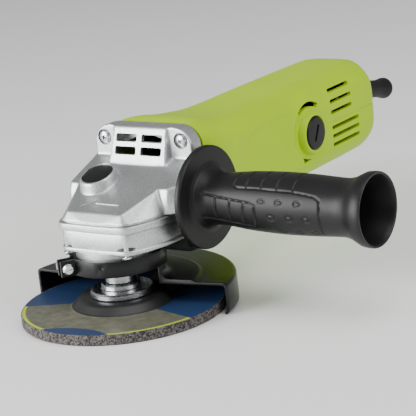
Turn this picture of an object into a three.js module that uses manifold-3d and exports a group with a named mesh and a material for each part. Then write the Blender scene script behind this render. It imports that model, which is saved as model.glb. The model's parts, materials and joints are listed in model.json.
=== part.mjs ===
// Corded angle grinder with a 115 mm depressed-centre disc, a side handle and a disc guard.
// Millimetres, +Z up. The origin is the centre of the spindle's lower end face, +X runs from the
// spindle back along the motor to the tail, and the side handle stands out towards -Y.
import * as THREE from "three";
import { mergeVertices } from "three/addons/utils/BufferGeometryUtils.js";
import { ConvexGeometry } from "three/addons/geometries/ConvexGeometry.js";
import Module from "manifold-3d";

const wasm = await Module();
wasm.setup();

// ---------------------------------------------------------------- driving dimensions
const REST_GAP = 0.3; // between two pieces that touch
const RUN_GAP = 0.4; // round a piece that turns or slides

const DISC_R = 57.5;
const DISC_THICK = 6;
const DISC_BORE_R = 11.1;
const DISC_BELOW_SPINDLE = 0.5; // the disc's working face lies below the spindle's end
const HUB_RISE = 5; // how far the depressed centre stands above the rim
const HUB_TOP_R = 21;
const HUB_FOOT_R = 28.9;

const SPINDLE_THREAD_R = 7;
const SPINDLE_SHOULDER_R = 8.7;
const SPINDLE_JOURNAL_R = 7.4;
const SPINDLE_NOSE_R = 4;
const SPINDLE_BEARING_R = 17.5;
const SPINDLE_BEARING_WIDE = 10;
const NUT_THICK = 4;
const NUT_R = 20;
const FLANGE_R = 17.8;
const FLANGE_THICK = 3.4;
const FLANGE_NECK_R = 11.3;
const FLANGE_NECK_LONG = 3.2;

const MOTOR_Z = 61; // height of the armature's axis
const HANDLE_X = 31;
const HANDLE_BELOW_MOTOR = 1.8;
const HANDLE_SEAT_Y = 40.4; // the boss face that the side handle screws against
const SPARE_SEAT_Y = 34.6; // the same face on the side without the handle
const HANDLE_LONG = 109.7;
const HANDLE_FLANGE_R = 28.7;
const HANDLE_GRIP_R = 16.8;
const HANDLE_END_R = 20.2;
const HANDLE_STUD_R = 3.9; // M8
const STUD_IN_HANDLE = 29;

const WALL = 2.6; // plastic shells
const CAST_WALL = 2.5; // die-cast shells
const NOSE_X = -20.6; // front of the gear head
const NOSE_HALF = 17; // half width of its flat front, and of the corners beside it
const NOSE_CORNER_HALF = 25.4;
const HEAD_HALF = 33.3; // half width of the gear head at its widest
const COVER_BOTTOM_Z = 38.4;
const JOINT_BELOW_MOTOR = 10.1; // where the gear cover meets the gear housing
const LIP_HIGH = 4;
const COVER_REAR_X = 28;
const TOP_FRONT_X = -16;
const TOP_SLOPE = 0.355; // rise of the sloping top per millimetre of length
const PANEL_FOOT_X = 25.8;
const PANEL_HALF = 19.4;
const FLANGE_FRONT_X = 34;
const FLANGE_REAR_X = 44;
const FLANGE_HALF_HIGH = 35.8;
const SCREW_SINK = 2.2; // how far the housing screws' seats are sunk into the flange
const WINDOW_ROWS = [[20.4, 24.9], [27.3, 31.7]]; // air windows, above the motor axis
const WINDOW_IN_Y = 1.6;
const WINDOW_OUT_Y = 16;
const HANDLE_BOSS_R = 25.3;
const HOUSING_SCREW_Y = 26.4;
const HOUSING_SCREW_Z = 28.4;

const BAND_LOW_Z = 27;
const BAND_HIGH = 8.9;
const SPIGOT_R = 23.1;
const SHEET = 1.5; // pressed steel of the guard and its clamp band
const DISC_CLEARANCE = 6.4; // between the disc's edge and the guard's wall
const GUARD_PLATE_Z = 16;
const GUARD_LOW_Z = -0.3;
const GUARD_HALF_ANGLE = 83; // degrees each side of the guard's middle
const GUARD_TURN = 3; // how the guard is set on the spigot, degrees
const EAR_THICK = 2;
const EAR_ANGLE = 147; // where the clamp band is split, degrees
const EAR_GAP = 1.6; // half the gap between the ears
const EAR_LONG = 9.1;

const BODY_FRONT_X = 45.2;
const BODY_REAR_X = 246;
const TAIL_COVER_LONG = 62; // the lower tail cover, from its front edge to the body's end
const BODY_HALF = 28.8; // half width and half height of the grip
const BODY_ROUND_R = 34; // radius across its rounded corners
const FLARE_HALF = 34.2; // half height of the flare behind the gear head
const FLARE_WIDE = 33.4;
const FLARE_ROUND_R = 39.6;

const SHAFT_R = 4;
const PINION_X = 13.6;
const PINION_LONG = 7;
const PINION_TEETH = 12;
const PINION_PITCH_R = 5.2;
const CROWN_TEETH = 37;
const CROWN_R = 17.4;
const CROWN_TOOTH_IN_R = 14.6;
const CAVITY_R = 18;
const CROWN_THICK = 9.95; // from the gear's underside to the foot of its teeth
const TOOTH_HIGH = 1.7;

const ARMATURE_X = 82; // front of the armature's steel stack
const STACK_LONG = 48;
const ARMATURE_R = 14.5;
const STATOR_HALF = 21.6;
const FAN_X = 50;
const FAN_R = 27;
const FAN_BLADES = 12;
const FAN_WIDE = 12;
const FAN_CLEARANCE = 2;
const FRONT_BEARING_X = 28;
const BEARING_R = 11;
const BEARING_WIDE = 7;
const REAR_BEARING_X = 177;
const REAR_BEARING_R = 9.5;
const COMMUTATOR_X = 154;
const COMMUTATOR_R = 11;
const COMMUTATOR_LONG = 16;
const BRUSH_X = 163;
const BRUSH_LONG = 8;
const CAP_R = 10;
const CAP_FACE_Y = 32.8;
const CAP_THICK = 4.5;

const LOCK_X = 7.9; // spindle lock button, off to the +Y side
const LOCK_Y = 13.8;
const LOCK_R = 10.2;
const LOCK_FLAT_Y = 23; // the button's straight side
const LOCK_RISE = 6.6; // how far its boss stands above the sloping top
const LOCK_RIM = 1.2; // wall of its boss
const LOCK_PIN_R = 1.6;
const LOCK_HOLE_R = 11.9; // radius on which the crown gear's lock holes lie
const LOCK_HOLES = 4;
const LOCK_TRAVEL = 4.2;

const VENT_BEHIND_SPLIT = 2.5;
const VENT_HIGH = 2.4;
const UPPER_VENTS = { long: 25, first: 6.3, step: 6.7 }; // heights above the motor axis
const LOWER_VENTS = { long: 32, first: -3.4, step: -5.4 };
const SWITCH_X = 108; // front of its thumb piece, switched off
const SWITCH_LONG = 7;
const SWITCH_TRAVEL = 7;
const SWITCH_Z = 15; // above the motor axis, on the +Y side
const TAIL_EXIT_Z = 4.5; // cord outlet above the motor axis
const TAIL_DROOP = 11; // degrees
const RELIEF_NECK_R = 5.9;
const RELIEF_LONG = 57;
const RELIEF_BORE_R = 3.4;
const CLAMP_BEFORE_END = 17; // cord clamp
const CLAMP_SCREW_Y = 8;
const SWITCH_BODY_BEFORE_END = 41;
const SWITCH_BODY_LONG = 17;

// ---------------------------------------------------------------- finishes
const finish = (color, roughness, metalness) =>
  new THREE.MeshStandardMaterial({ color, roughness, metalness });
const cast = () => finish(0xb9bcbc, 0.42, 0.85);
const limePlastic = () => finish(0xb4d10a, 0.4, 0);
const blackPlastic = () => finish(0x2b2b2b, 0.5, 0);
const blackSteel = () => finish(0x26272a, 0.35, 0.4);
const plainSteel = () => finish(0xa9abad, 0.3, 1);
const darkSteel = () => finish(0x5c5e60, 0.45, 0.9);
const copper = () => finish(0xb06a3a, 0.35, 0.9);
const brass = () => finish(0xc2a15a, 0.35, 0.9);
const carbon = () => finish(0x2a2a2c, 0.7, 0.1);
const abrasive = () => finish(0x4a4645, 0.95, 0);
const rubber = () => finish(0x202020, 0.8, 0);

// ---------------------------------------------------------------- solids
const deg = Math.PI / 180;

function solid(geometry) {
  const bare = geometry.index ? geometry.toNonIndexed() : geometry.clone();
  bare.deleteAttribute("normal");
  bare.deleteAttribute("uv");
  const merged = mergeVertices(bare, 1e-4);
  const vertProperties = merged.attributes.position.array;
  const triVerts = new Uint32Array(merged.index.array);
  return new wasm.Manifold(new wasm.Mesh({ numProp: 3, vertProperties, triVerts }));
}

function geometryOf(shape) {
  const { vertProperties, triVerts } = shape.getMesh();
  const geometry = new THREE.BufferGeometry();
  geometry.setAttribute("position", new THREE.BufferAttribute(vertProperties, 3));
  geometry.setIndex(new THREE.BufferAttribute(triVerts, 1));
  geometry.computeVertexNormals();
  return geometry;
}

const joined = (shapes) => shapes.reduce((whole, next) => whole.add(next));
const cut = (shape, tools) => tools.reduce((left, tool) => left.subtract(tool), shape);

// A closed outline of [radius, height] corners turned about Z.
function turned(corners, segments = 24) {
  const area = corners.reduce((sum, [r, z], i) => {
    const [r2, z2] = corners[(i + 1) % corners.length];
    return sum + r * z2 - r2 * z;
  }, 0);
  const ring = area > 0 ? [...corners] : [...corners].reverse();
  const start = ring.findIndex(([r], i) => r === 0 && ring[(i + ring.length - 1) % ring.length][0] === 0);
  const open = start >= 0;
  const ordered = open ? [...ring.slice(start), ...ring.slice(0, start)] : [...ring, ring[0]];
  const points = ordered.map(([r, z]) => new THREE.Vector2(r, z));
  return solid(new THREE.LatheGeometry(points, segments).rotateX(Math.PI / 2));
}

const toX = (shape) => shape.rotate([0, 90, 0]);
const toMinusY = (shape) => shape.rotate([90, 0, 0]);
const moved = (shape, x, y, z) => shape.translate([x, y, z]);

const rod = (r, low, high, segments = 20) =>
  turned([[0, low], [r, low], [r, high], [0, high]], segments);
const ring = (inner, outer, low, high, segments = 24) =>
  turned([[inner, low], [outer, low], [outer, high], [inner, high]], segments);

function block([x0, x1], [y0, y1], [z0, z1]) {
  const box = new THREE.BoxGeometry(x1 - x0, y1 - y0, z1 - z0);
  box.translate((x0 + x1) / 2, (y0 + y1) / 2, (z0 + z1) / 2);
  return solid(box);
}

// An outline of Vector2 points, or a Shape, raised along Z.
function raised(outline, low, high, curveSegments = 4) {
  const shape = outline instanceof THREE.Shape ? outline : new THREE.Shape(outline);
  const settings = { depth: high - low, bevelEnabled: false, curveSegments };
  return solid(new THREE.ExtrudeGeometry(shape, settings).translate(0, 0, low));
}

function roundedRectangle(wide, high, r) {
  const [x, y] = [wide / 2, high / 2];
  const shape = new THREE.Shape();
  shape.moveTo(x, y - r);
  shape.absarc(x - r, y - r, r, 0, Math.PI / 2);
  shape.absarc(r - x, y - r, r, Math.PI / 2, Math.PI);
  shape.absarc(r - x, r - y, r, Math.PI, 1.5 * Math.PI);
  shape.absarc(x - r, r - y, r, 1.5 * Math.PI, 2 * Math.PI);
  return shape;
}

// A plate outlined across X (its first size along Y, its second along Z), from x0 to x1.
const plateAcrossX = (shape, x0, x1) => toX(raised(shape, x0, x1).rotate([0, 0, 90]));

// A pie slice of a turned shape, from one angle to another, both in degrees.
function slice(reach, from, to, low, high) {
  const points = [new THREE.Vector2(0, 0)];
  const steps = Math.ceil((to - from) / 15);
  for (let i = 0; i <= steps; i += 1) {
    const angle = (from + ((to - from) * i) / steps) * deg;
    points.push(new THREE.Vector2(reach * Math.cos(angle), reach * Math.sin(angle)));
  }
  return raised(points, low, high);
}

function helix(radius, wire, low, high, turns) {
  const points = [];
  const steps = turns * 7;
  for (let i = 0; i <= steps; i += 1) {
    const angle = (i / 7) * 2 * Math.PI;
    const z = low + wire + ((high - low - 2 * wire) * i) / steps;
    points.push(new THREE.Vector3(radius * Math.cos(angle), radius * Math.sin(angle), z));
  }
  const section = new THREE.Shape();
  section.absarc(0, 0, wire, 0, 2 * Math.PI);
  const extrudePath = new THREE.CatmullRomCurve3(points);
  const settings = { steps, curveSegments: 2, bevelEnabled: false, extrudePath };
  return solid(new THREE.ExtrudeGeometry(section, settings));
}

function node(name, shape, material) {
  const mesh = new THREE.Mesh(geometryOf(shape), material);
  mesh.name = name;
  return mesh;
}

function group(position, ...children) {
  const made = new THREE.Group();
  made.position.set(...position);
  made.add(...children);
  return made;
}

// ---------------------------------------------------------------- heights that follow
const discLow = -DISC_BELOW_SPINDLE;
const discTop = discLow + DISC_THICK;
const hubLow = discLow + HUB_RISE;
const hubTop = hubLow + DISC_THICK;
const flangeLow = hubTop + REST_GAP;
const flangeTop = flangeLow + FLANGE_THICK + FLANGE_NECK_LONG;
const jointZ = MOTOR_Z - JOINT_BELOW_MOTOR;
const lipTop = jointZ + LIP_HIGH;
const handleZ = MOTOR_Z - HANDLE_BELOW_MOTOR;
const topFrontZ = MOTOR_Z; // the sloping top starts level with the motor axis
const toothTop = MOTOR_Z - PINION_PITCH_R + TOOTH_HIGH / 2;
const webTop = toothTop - TOOTH_HIGH;
const crownLow = webTop - CROWN_THICK;
const slopeZ = (x) => topFrontZ + TOP_SLOPE * (x - TOP_FRONT_X);
const bearingLow = BAND_LOW_Z + CAST_WALL;
const bearingHigh = bearingLow + SPINDLE_BEARING_WIDE;
const retainerHigh = bearingHigh + REST_GAP + 1.5;
const guardR = DISC_R + DISC_CLEARANCE + SHEET;
const tailSplitX = BODY_REAR_X - TAIL_COVER_LONG;
const ventX = tailSplitX + VENT_BEHIND_SPLIT;
const clampX = BODY_REAR_X - CLAMP_BEFORE_END;
const switchBodyX = BODY_REAR_X - SWITCH_BODY_BEFORE_END;
const thumbX = [SWITCH_X, SWITCH_X + SWITCH_LONG];
const thumbHalf = 2.9;
const guideRearX = thumbX[1] + 6;
const FAR = 200; // past the whole object

// ---------------------------------------------------------------- disc and spindle
function grindingDisc() {
  return turned([
    [DISC_BORE_R, hubLow],
    [HUB_TOP_R, hubLow],
    [HUB_FOOT_R - 3, discLow],
    [DISC_R, discLow],
    [DISC_R, discTop],
    [HUB_FOOT_R, discTop],
    [HUB_TOP_R + 3, hubTop],
    [DISC_BORE_R, hubTop],
  ], 40);
}

function innerFlange() {
  const bore = SPINDLE_THREAD_R + REST_GAP;
  const neckLow = flangeLow + FLANGE_THICK;
  return turned([
    [bore, flangeLow],
    [FLANGE_R, flangeLow],
    [FLANGE_R, neckLow - 0.8],
    [FLANGE_R - 0.8, neckLow],
    [FLANGE_NECK_R, neckLow],
    [FLANGE_NECK_R, flangeTop],
    [bore, flangeTop],
  ]);
}

function clampNut() {
  const high = hubLow - REST_GAP;
  const low = high - NUT_THICK;
  const body = turned([
    [SPINDLE_THREAD_R + REST_GAP, low],
    [NUT_R - 1, low],
    [NUT_R, low + 1],
    [NUT_R, high],
    [SPINDLE_THREAD_R + REST_GAP, high],
  ]);
  const pinHole = (angle) => {
    const at = [15 * Math.cos(angle * deg), 15 * Math.sin(angle * deg)];
    return moved(rod(2.6, low - 1, low + 2.5, 8), ...at, 0);
  };
  return cut(body, [pinHole(0), pinHole(90), pinHole(180), pinHole(270)]);
}

function spindle() {
  const shoulderLow = flangeTop + REST_GAP;
  const shoulderHigh = bearingLow - REST_GAP;
  return turned([
    [0, 0],
    [SPINDLE_THREAD_R - 0.8, 0],
    [SPINDLE_THREAD_R, 0.8],
    [SPINDLE_THREAD_R, shoulderLow],
    [SPINDLE_SHOULDER_R, shoulderLow],
    [SPINDLE_SHOULDER_R, shoulderHigh],
    [SPINDLE_JOURNAL_R, shoulderHigh],
    [SPINDLE_JOURNAL_R, bearingHigh],
    [SPINDLE_THREAD_R - 1, bearingHigh],
    [SPINDLE_THREAD_R - 1, webTop + 0.5],
    [SPINDLE_NOSE_R, webTop + 0.5],
    [SPINDLE_NOSE_R, slopeZ(0) - CAST_WALL - 0.6],
    [0, slopeZ(0) - CAST_WALL - 0.6],
  ], 18);
}

function spindleInnerRing() {
  return ring(SPINDLE_JOURNAL_R + 0.1, 10.6, bearingLow, bearingHigh, 20);
}

function spindleOuterRing() {
  return ring(14.6, SPINDLE_BEARING_R, bearingLow + 0.1, bearingHigh, 20);
}

function bearingRetainer() {
  return ring(12.8, SPINDLE_BEARING_R, bearingHigh + REST_GAP, retainerHigh, 20);
}

function topBush() {
  return ring(SPINDLE_NOSE_R + 0.05, 6, webTop + 3.4, slopeZ(0) - CAST_WALL - 0.5, 20);
}

function crownGear() {
  const bore = SPINDLE_THREAD_R - 1 + REST_GAP;
  const hub = ring(bore, 9.3, bearingHigh + REST_GAP, crownLow + 1, 14);
  const web = ring(bore, CROWN_R, crownLow, webTop, CROWN_TEETH);
  const teeth = [];
  for (let i = 0; i < CROWN_TEETH; i += 1) {
    const angle = ((i + 0.5) * 360) / CROWN_TEETH;
    teeth.push(raised(crownTooth, webTop - 0.5, toothTop).rotate([0, 0, angle]));
  }
  const holes = Array.from({ length: LOCK_HOLES }, (_, i) => {
    const angle = (lockAngle + (i * 360) / LOCK_HOLES) * deg;
    const at = [LOCK_HOLE_R * Math.cos(angle), LOCK_HOLE_R * Math.sin(angle)];
    return moved(rod(LOCK_PIN_R + RUN_GAP, crownLow - 1, webTop + 1, 10), ...at, 0);
  });
  return cut(joined([hub, web, ...teeth]), holes);
}

// One tooth lies along +X and widens outwards as the gaps between the teeth do.
const toothHalfAngle = (0.27 * Math.PI) / CROWN_TEETH;
const toothCorner = (r, side) =>
  new THREE.Vector2(r * Math.cos(toothHalfAngle), side * r * Math.sin(toothHalfAngle));
const crownTooth = [
  toothCorner(CROWN_TOOTH_IN_R, -1),
  toothCorner(CROWN_R - 0.1, -1),
  toothCorner(CROWN_R - 0.1, 1),
  toothCorner(CROWN_TOOTH_IN_R, 1),
];

const lockAngle = Math.atan2(LOCK_Y, LOCK_X) / deg;
const lockPinAt = [LOCK_HOLE_R * Math.cos(lockAngle * deg), LOCK_HOLE_R * Math.sin(lockAngle * deg)];

// ---------------------------------------------------------------- gear head
// Plan of the gear head, drawn in by an inset, with a rounded nose and flanks that spread rearwards.
function headPlan(inset, rear) {
  const nose = NOSE_X + inset;
  const half = HEAD_HALF - inset;
  const shape = new THREE.Shape();
  const flat = NOSE_HALF - inset;
  const corner = NOSE_CORNER_HALF - inset;
  const bend = corner - 1.8;
  const flankX = 13; // the flanks run straight back from here
  shape.moveTo(nose, -flat);
  shape.quadraticCurveTo(nose, -bend, nose + 4.6, -corner);
  shape.quadraticCurveTo(-2, -half, flankX, -half);
  shape.lineTo(rear, -half);
  shape.lineTo(rear, half);
  shape.lineTo(flankX, half);
  shape.quadraticCurveTo(-2, half, nose + 4.6, corner);
  shape.quadraticCurveTo(nose, bend, nose, flat);
  shape.quadraticCurveTo(nose - 1.2, 0, nose, -flat);
  return shape;
}

// The sloping upper part of the head, a hull from the lip up to the top plane.
function headCrown(inset, lowZ) {
  const points = headPlan(0.8 + inset, 39).getPoints(5).map(({ x, y }) => [x, y, lowZ]);
  const shoulder = HEAD_HALF - 2.7 - inset;
  const topHalf = [
    [TOP_FRONT_X + inset, NOSE_HALF + 1.6 - inset],
    [6, shoulder - 3.8],
    [26, shoulder],
    [39, shoulder],
  ];
  topHalf.forEach(([x, y]) => {
    points.push([x, y, slopeZ(x) - inset], [x, -y, slopeZ(x) - inset]);
  });
  return solid(new ConvexGeometry(points.map((p) => new THREE.Vector3(...p))));
}

function windowPanel() {
  const points = [];
  [-1, 1].forEach((side) => {
    points.push([PANEL_FOOT_X - 0.6, side * (PANEL_HALF + 0.6), slopeZ(PANEL_FOOT_X) - 2]);
    points.push([FLANGE_FRONT_X + 2, side * (PANEL_HALF + 0.6), slopeZ(PANEL_FOOT_X) - 2]);
    points.push([FLANGE_FRONT_X - 0.4, side * (PANEL_HALF - 1), MOTOR_Z + FLANGE_HALF_HIGH - 0.3]);
    points.push([FLANGE_FRONT_X + 2, side * (PANEL_HALF - 1), MOTOR_Z + FLANGE_HALF_HIGH - 0.3]);
  });
  return solid(new ConvexGeometry(points.map((p) => new THREE.Vector3(...p))));
}

function bossOutline(inset) {
  const r = LOCK_R - inset;
  const flat = LOCK_FLAT_Y - LOCK_Y - inset;
  const angle = Math.asin(flat / r);
  const shape = new THREE.Shape();
  shape.absarc(LOCK_X, LOCK_Y, r, Math.PI - angle, 2 * Math.PI + angle);
  return shape;
}

// All that lies below a plane parallel to the sloping top.
function belowSlope(rise) {
  const angle = -Math.atan(TOP_SLOPE) / deg;
  const slab = block([-FAR, FAR], [-FAR, FAR], [-FAR, 0]).rotate([0, angle, 0]);
  return moved(slab, TOP_FRONT_X, 0, topFrontZ + rise);
}

const buttonLow = slopeZ(LOCK_X) + 1.6;
const pocketFloor = buttonLow - LOCK_TRAVEL - 0.3;

const seatY = (side) => (side < 0 ? HANDLE_SEAT_Y : SPARE_SEAT_Y);

function handleBoss(side) {
  const seat = seatY(side);
  const shoulder = HEAD_HALF - REST_GAP;
  const boss = turned([
    [0, 14],
    [HANDLE_BOSS_R, 14],
    [HANDLE_BOSS_R, shoulder],
    [HANDLE_BOSS_R - 0.55 * (seat - shoulder), seat],
    [0, seat],
  ]);
  const upright = side < 0 ? toMinusY(boss) : toMinusY(boss).rotate([180, 0, 0]);
  const aboveJoint = block([-FAR, FLANGE_REAR_X], [-FAR, FAR], [jointZ, FAR]);
  const besideFlange = block([FLANGE_FRONT_X, FLANGE_REAR_X], [-FAR, FAR], [-FAR, FAR]);
  const placed = moved(upright, HANDLE_X, 0, handleZ).intersect(belowSlope(REST_GAP));
  return placed.intersect(aboveJoint.add(besideFlange));
}

function handleHole(side) {
  const hole = rod(HANDLE_STUD_R + REST_GAP, 23, seatY(side) + 1, 14);
  const turnedHole = side < 0 ? toMinusY(hole) : toMinusY(hole).rotate([180, 0, 0]);
  return moved(turnedHole, HANDLE_X, 0, handleZ);
}

const housingScrewSpots = [[1, 1], [-1, 1], [1, -1], [-1, -1]].map(([y, z]) =>
  [y * HOUSING_SCREW_Y, z * HOUSING_SCREW_Z]);
const coverScrewSpots = [[-17.4, 20.2], [-17.4, -20.2], [22, 27.6], [22, -27.6]];

function airWindows() {
  const slots = [];
  WINDOW_ROWS.forEach(([low, high]) => {
    const heights = [MOTOR_Z + low, MOTOR_Z + high];
    slots.push(block([15, 50], [WINDOW_IN_Y, WINDOW_OUT_Y], heights));
    slots.push(block([15, 50], [-WINDOW_OUT_Y, -WINDOW_IN_Y], heights));
  });
  return slots;
}

function gearHousing() {
  const lip = raised(headPlan(0, FLANGE_REAR_X), jointZ, lipTop);
  const flangeOutline = roundedRectangle(2 * HEAD_HALF, 2 * FLANGE_HALF_HIGH, 10);
  const flange = moved(plateAcrossX(flangeOutline, FLANGE_FRONT_X, FLANGE_REAR_X), 0, 0, MOTOR_Z);
  const neckLow = MOTOR_Z - 27;
  const neck = block([COVER_REAR_X + 0.5, FLANGE_FRONT_X + 1], [-24, 24], [neckLow, jointZ + 1]);
  const boss = raised(bossOutline(0), topFrontZ + 1, FAR).intersect(belowSlope(LOCK_RISE));
  const outside = joined([
    lip, headCrown(0, lipTop - 0.2), flange, neck, windowPanel(), boss, handleBoss(-1), handleBoss(1),
  ]);
  const cavity = rod(CAVITY_R, jointZ - 1, webTop + 3.2, 24);
  const bushSeat = rod(6.3, webTop + 2, slopeZ(0) - CAST_WALL, 20);
  const pinionTunnel = moved(toX(rod(8, 3, FRONT_BEARING_X + 1, 16)), 0, 0, MOTOR_Z);
  const bearingSeat = moved(
    toX(rod(BEARING_R + REST_GAP, FRONT_BEARING_X - REST_GAP, FLANGE_FRONT_X + 2, 20)),
    0, 0, MOTOR_Z,
  );
  const fanSpace = toX(rod(FAN_R + FAN_CLEARANCE, FLANGE_FRONT_X + 4, FLANGE_REAR_X + 1, 24));
  const fanRoom = moved(fanSpace, 0, 0, MOTOR_Z);
  const shaftHole = moved(toX(rod(6.5, FLANGE_FRONT_X, FLANGE_REAR_X, 12)), 0, 0, MOTOR_Z);
  const pocket = raised(bossOutline(LOCK_RIM), pocketFloor, FAR);
  const pinHole = moved(rod(LOCK_PIN_R + 0.3, webTop, FAR, 10), ...lockPinAt, 0);
  const screwHole = toX(rod(2.2, FLANGE_FRONT_X - 6, FLANGE_REAR_X + 1, 10));
  const screwPocket = toX(rod(5.4, FLANGE_FRONT_X - 12, FLANGE_FRONT_X + SCREW_SINK, 12));
  const atScrews = (shape) => housingScrewSpots.map(([y, z]) => moved(shape, 0, y, MOTOR_Z + z));
  const coverTaps = coverScrewSpots.map(([x, y]) => moved(rod(1.8, jointZ - 1, jointZ + 3, 8), x, y, 0));
  return cut(outside, [
    cavity, bushSeat, pinionTunnel, bearingSeat, fanRoom, shaftHole, pocket, pinHole,
    ...airWindows(), ...atScrews(screwHole), ...atScrews(screwPocket), ...coverTaps,
    handleHole(-1), handleHole(1),
  ]);
}

function gearCover() {
  const top = jointZ - REST_GAP;
  const trim = block([-FAR, COVER_REAR_X], [-FAR, FAR], [-FAR, FAR]);
  const body = raised(headPlan(1, 40), COVER_BOTTOM_Z + 3, top).intersect(trim);
  const foot = raised(headPlan(0.6, 40), COVER_BOTTOM_Z, COVER_BOTTOM_Z + 3.1).intersect(trim);
  const spigot = rod(SPIGOT_R, BAND_LOW_Z + 0.2, COVER_BOTTOM_Z + 1, 36);
  const shaftHole = rod(SPINDLE_SHOULDER_R + 0.8, BAND_LOW_Z - 1, bearingLow + 1, 24);
  const seat = rod(SPINDLE_BEARING_R + REST_GAP, bearingLow, retainerHigh, 24);
  const gearRoom = rod(CAVITY_R, bearingHigh + REST_GAP, top + 1, 24);
  const screwHoles = coverScrewSpots.map(([x, y]) => moved(rod(2, 0, FAR, 10), x, y, 0));
  return cut(joined([body, foot, spigot]), [shaftHole, seat, gearRoom, ...screwHoles]);
}

// A pan-head screw standing along Z: its head below low and its shank up to high.
function panScrew(headR, headHigh, shankR, shankLong) {
  const head = turned([
    [0, -headHigh],
    [headR * 0.75, -headHigh],
    [headR, -headHigh * 0.4],
    [headR, 0],
    [shankR, 0],
    [shankR, shankLong],
    [0, shankLong],
  ], 10);
  const slot = block([-headR * 0.6, headR * 0.6], [-0.5, 0.5], [-headHigh - 1, -headHigh * 0.45]);
  return head.subtract(slot);
}

// ---------------------------------------------------------------- guard
function guard() {
  const from = -GUARD_HALF_ANGLE;
  const to = GUARD_HALF_ANGLE;
  const neckIn = SPIGOT_R + 0.4;
  const neckOut = neckIn + SHEET;
  const plateTop = GUARD_PLATE_Z + SHEET;
  const pressing = turned([
    [neckIn, GUARD_PLATE_Z],
    [guardR - 3, GUARD_PLATE_Z],
    [guardR - SHEET, GUARD_PLATE_Z - 1.6],
    [guardR - SHEET, GUARD_LOW_Z + 2.2],
    [guardR - SHEET - 1.4, GUARD_LOW_Z + 0.8],
    [guardR - SHEET - 0.4, GUARD_LOW_Z],
    [guardR, GUARD_LOW_Z + 1.8],
    [guardR, plateTop - 2.4],
    [guardR - 2.2, plateTop],
    [44.5, plateTop],
    [43, plateTop + 1.2],
    [neckOut + 3.5, plateTop + 1.2],
    [neckOut, plateTop + 4],
    [neckOut, BAND_LOW_Z + 1],
    [neckIn, BAND_LOW_Z + 1],
  ], 36);
  const sector = pressing.intersect(slice(90, from, to, -20, 60));
  const collar = ring(neckIn, neckOut, BAND_LOW_Z + 0.2, BAND_LOW_Z + BAND_HIGH - 0.4, 36);
  return sector.add(collar).rotate([0, 0, GUARD_TURN]);
}

// Clamp band: a strip round the guard's collar, split at the ears that the screw pulls together.
const bandIn = SPIGOT_R + 0.4 + SHEET + REST_GAP;
const earReach = bandIn + EAR_LONG;
const bandScrewAt = earReach - 3.6;

function guardBand() {
  const strip = ring(bandIn, bandIn + SHEET, BAND_LOW_Z, BAND_LOW_Z + BAND_HIGH, 36);
  const ear = (side) => {
    const y = [side * EAR_GAP, side * (EAR_GAP + EAR_THICK)].sort((a, b) => a - b);
    return block([bandIn + 0.4, earReach], y, [BAND_LOW_Z, BAND_LOW_Z + BAND_HIGH]);
  };
  const split = block([bandIn - 2, earReach + 2], [-EAR_GAP, EAR_GAP], [-FAR, FAR]);
  const hole = moved(toMinusY(rod(2.3, -12, 12, 10)), bandScrewAt, 0, BAND_LOW_Z + BAND_HIGH / 2);
  const dimple = moved(toX(rod(1.2, bandIn + SHEET - 0.5, bandIn + SHEET + 2, 10)), 0, 0, BAND_LOW_Z + 6)
    .rotate([0, 0, 50]);
  return cut(joined([strip, ear(1), ear(-1)]), [split, hole, dimple]).rotate([0, 0, EAR_ANGLE]);
}

function bandScrew() {
  const long = 2 * EAR_GAP + 10;
  const screw = toMinusY(panScrew(3.2, 2.2, 2, long));
  const placed = moved(screw, bandScrewAt, EAR_GAP + EAR_THICK + REST_GAP, BAND_LOW_Z + BAND_HIGH / 2);
  return placed.rotate([0, 0, EAR_ANGLE]);
}

function bandNut() {
  const nut = rod(3.7, 0, 3, 6).subtract(rod(2 + REST_GAP, -1, 4, 12));
  const seatY = -EAR_GAP - EAR_THICK - REST_GAP;
  const placed = moved(toMinusY(nut), bandScrewAt, seatY, BAND_LOW_Z + BAND_HIGH / 2);
  return placed.rotate([0, 0, EAR_ANGLE]);
}

// ---------------------------------------------------------------- spindle lock
function lockButton() {
  return raised(bossOutline(LOCK_RIM + RUN_GAP), buttonLow, FAR).intersect(belowSlope(LOCK_RISE - 0.5));
}

function lockPin() {
  return moved(rod(LOCK_PIN_R, webTop + 1.2, buttonLow - REST_GAP, 12), ...lockPinAt, 0);
}

function lockSpring() {
  const spring = helix(LOCK_PIN_R + 1.1, 0.4, pocketFloor + 0.2, buttonLow - 0.2, 3);
  return moved(spring, ...lockPinAt, 0);
}

// ---------------------------------------------------------------- armature, on an axis along X
function pinion() {
  const points = [];
  const half = 0.3 * (Math.PI / PINION_TEETH);
  const tip = PINION_PITCH_R + 0.8;
  const root = PINION_PITCH_R - 1.1;
  for (let i = 0; i < PINION_TEETH; i += 1) {
    const middle = (i * 2 * Math.PI) / PINION_TEETH;
    points.push([root, middle - 2.2 * half], [tip, middle - half]);
    points.push([tip, middle + half], [root, middle + 2.2 * half]);
  }
  const corners = points.map(([r, a]) => new THREE.Vector2(r * Math.cos(a), r * Math.sin(a)));
  const toothed = raised(corners, 0, PINION_LONG);
  const bored = toothed.subtract(rod(SHAFT_R - 1 + 0.1, -1, PINION_LONG + 1, 20));
  return toX(bored).translate([PINION_X, 0, 0]);
}

function pinionNut() {
  const low = PINION_X - 3.4;
  const high = PINION_X - REST_GAP;
  return toX(rod(5, low, high, 6).subtract(rod(SHAFT_R - 1 + REST_GAP, low - 1, high + 1, 12)));
}

function armatureShaft() {
  const thin = SHAFT_R - 1;
  const behindPinion = PINION_X + PINION_LONG + REST_GAP;
  return toX(turned([
    [0, PINION_X - 3.8],
    [thin, PINION_X - 3.8],
    [thin, behindPinion],
    [SHAFT_R, behindPinion],
    [SHAFT_R, REAR_BEARING_X - REST_GAP],
    [thin, REAR_BEARING_X - REST_GAP],
    [thin, REAR_BEARING_X + 7],
    [0, REAR_BEARING_X + 7],
  ], 20));
}

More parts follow.
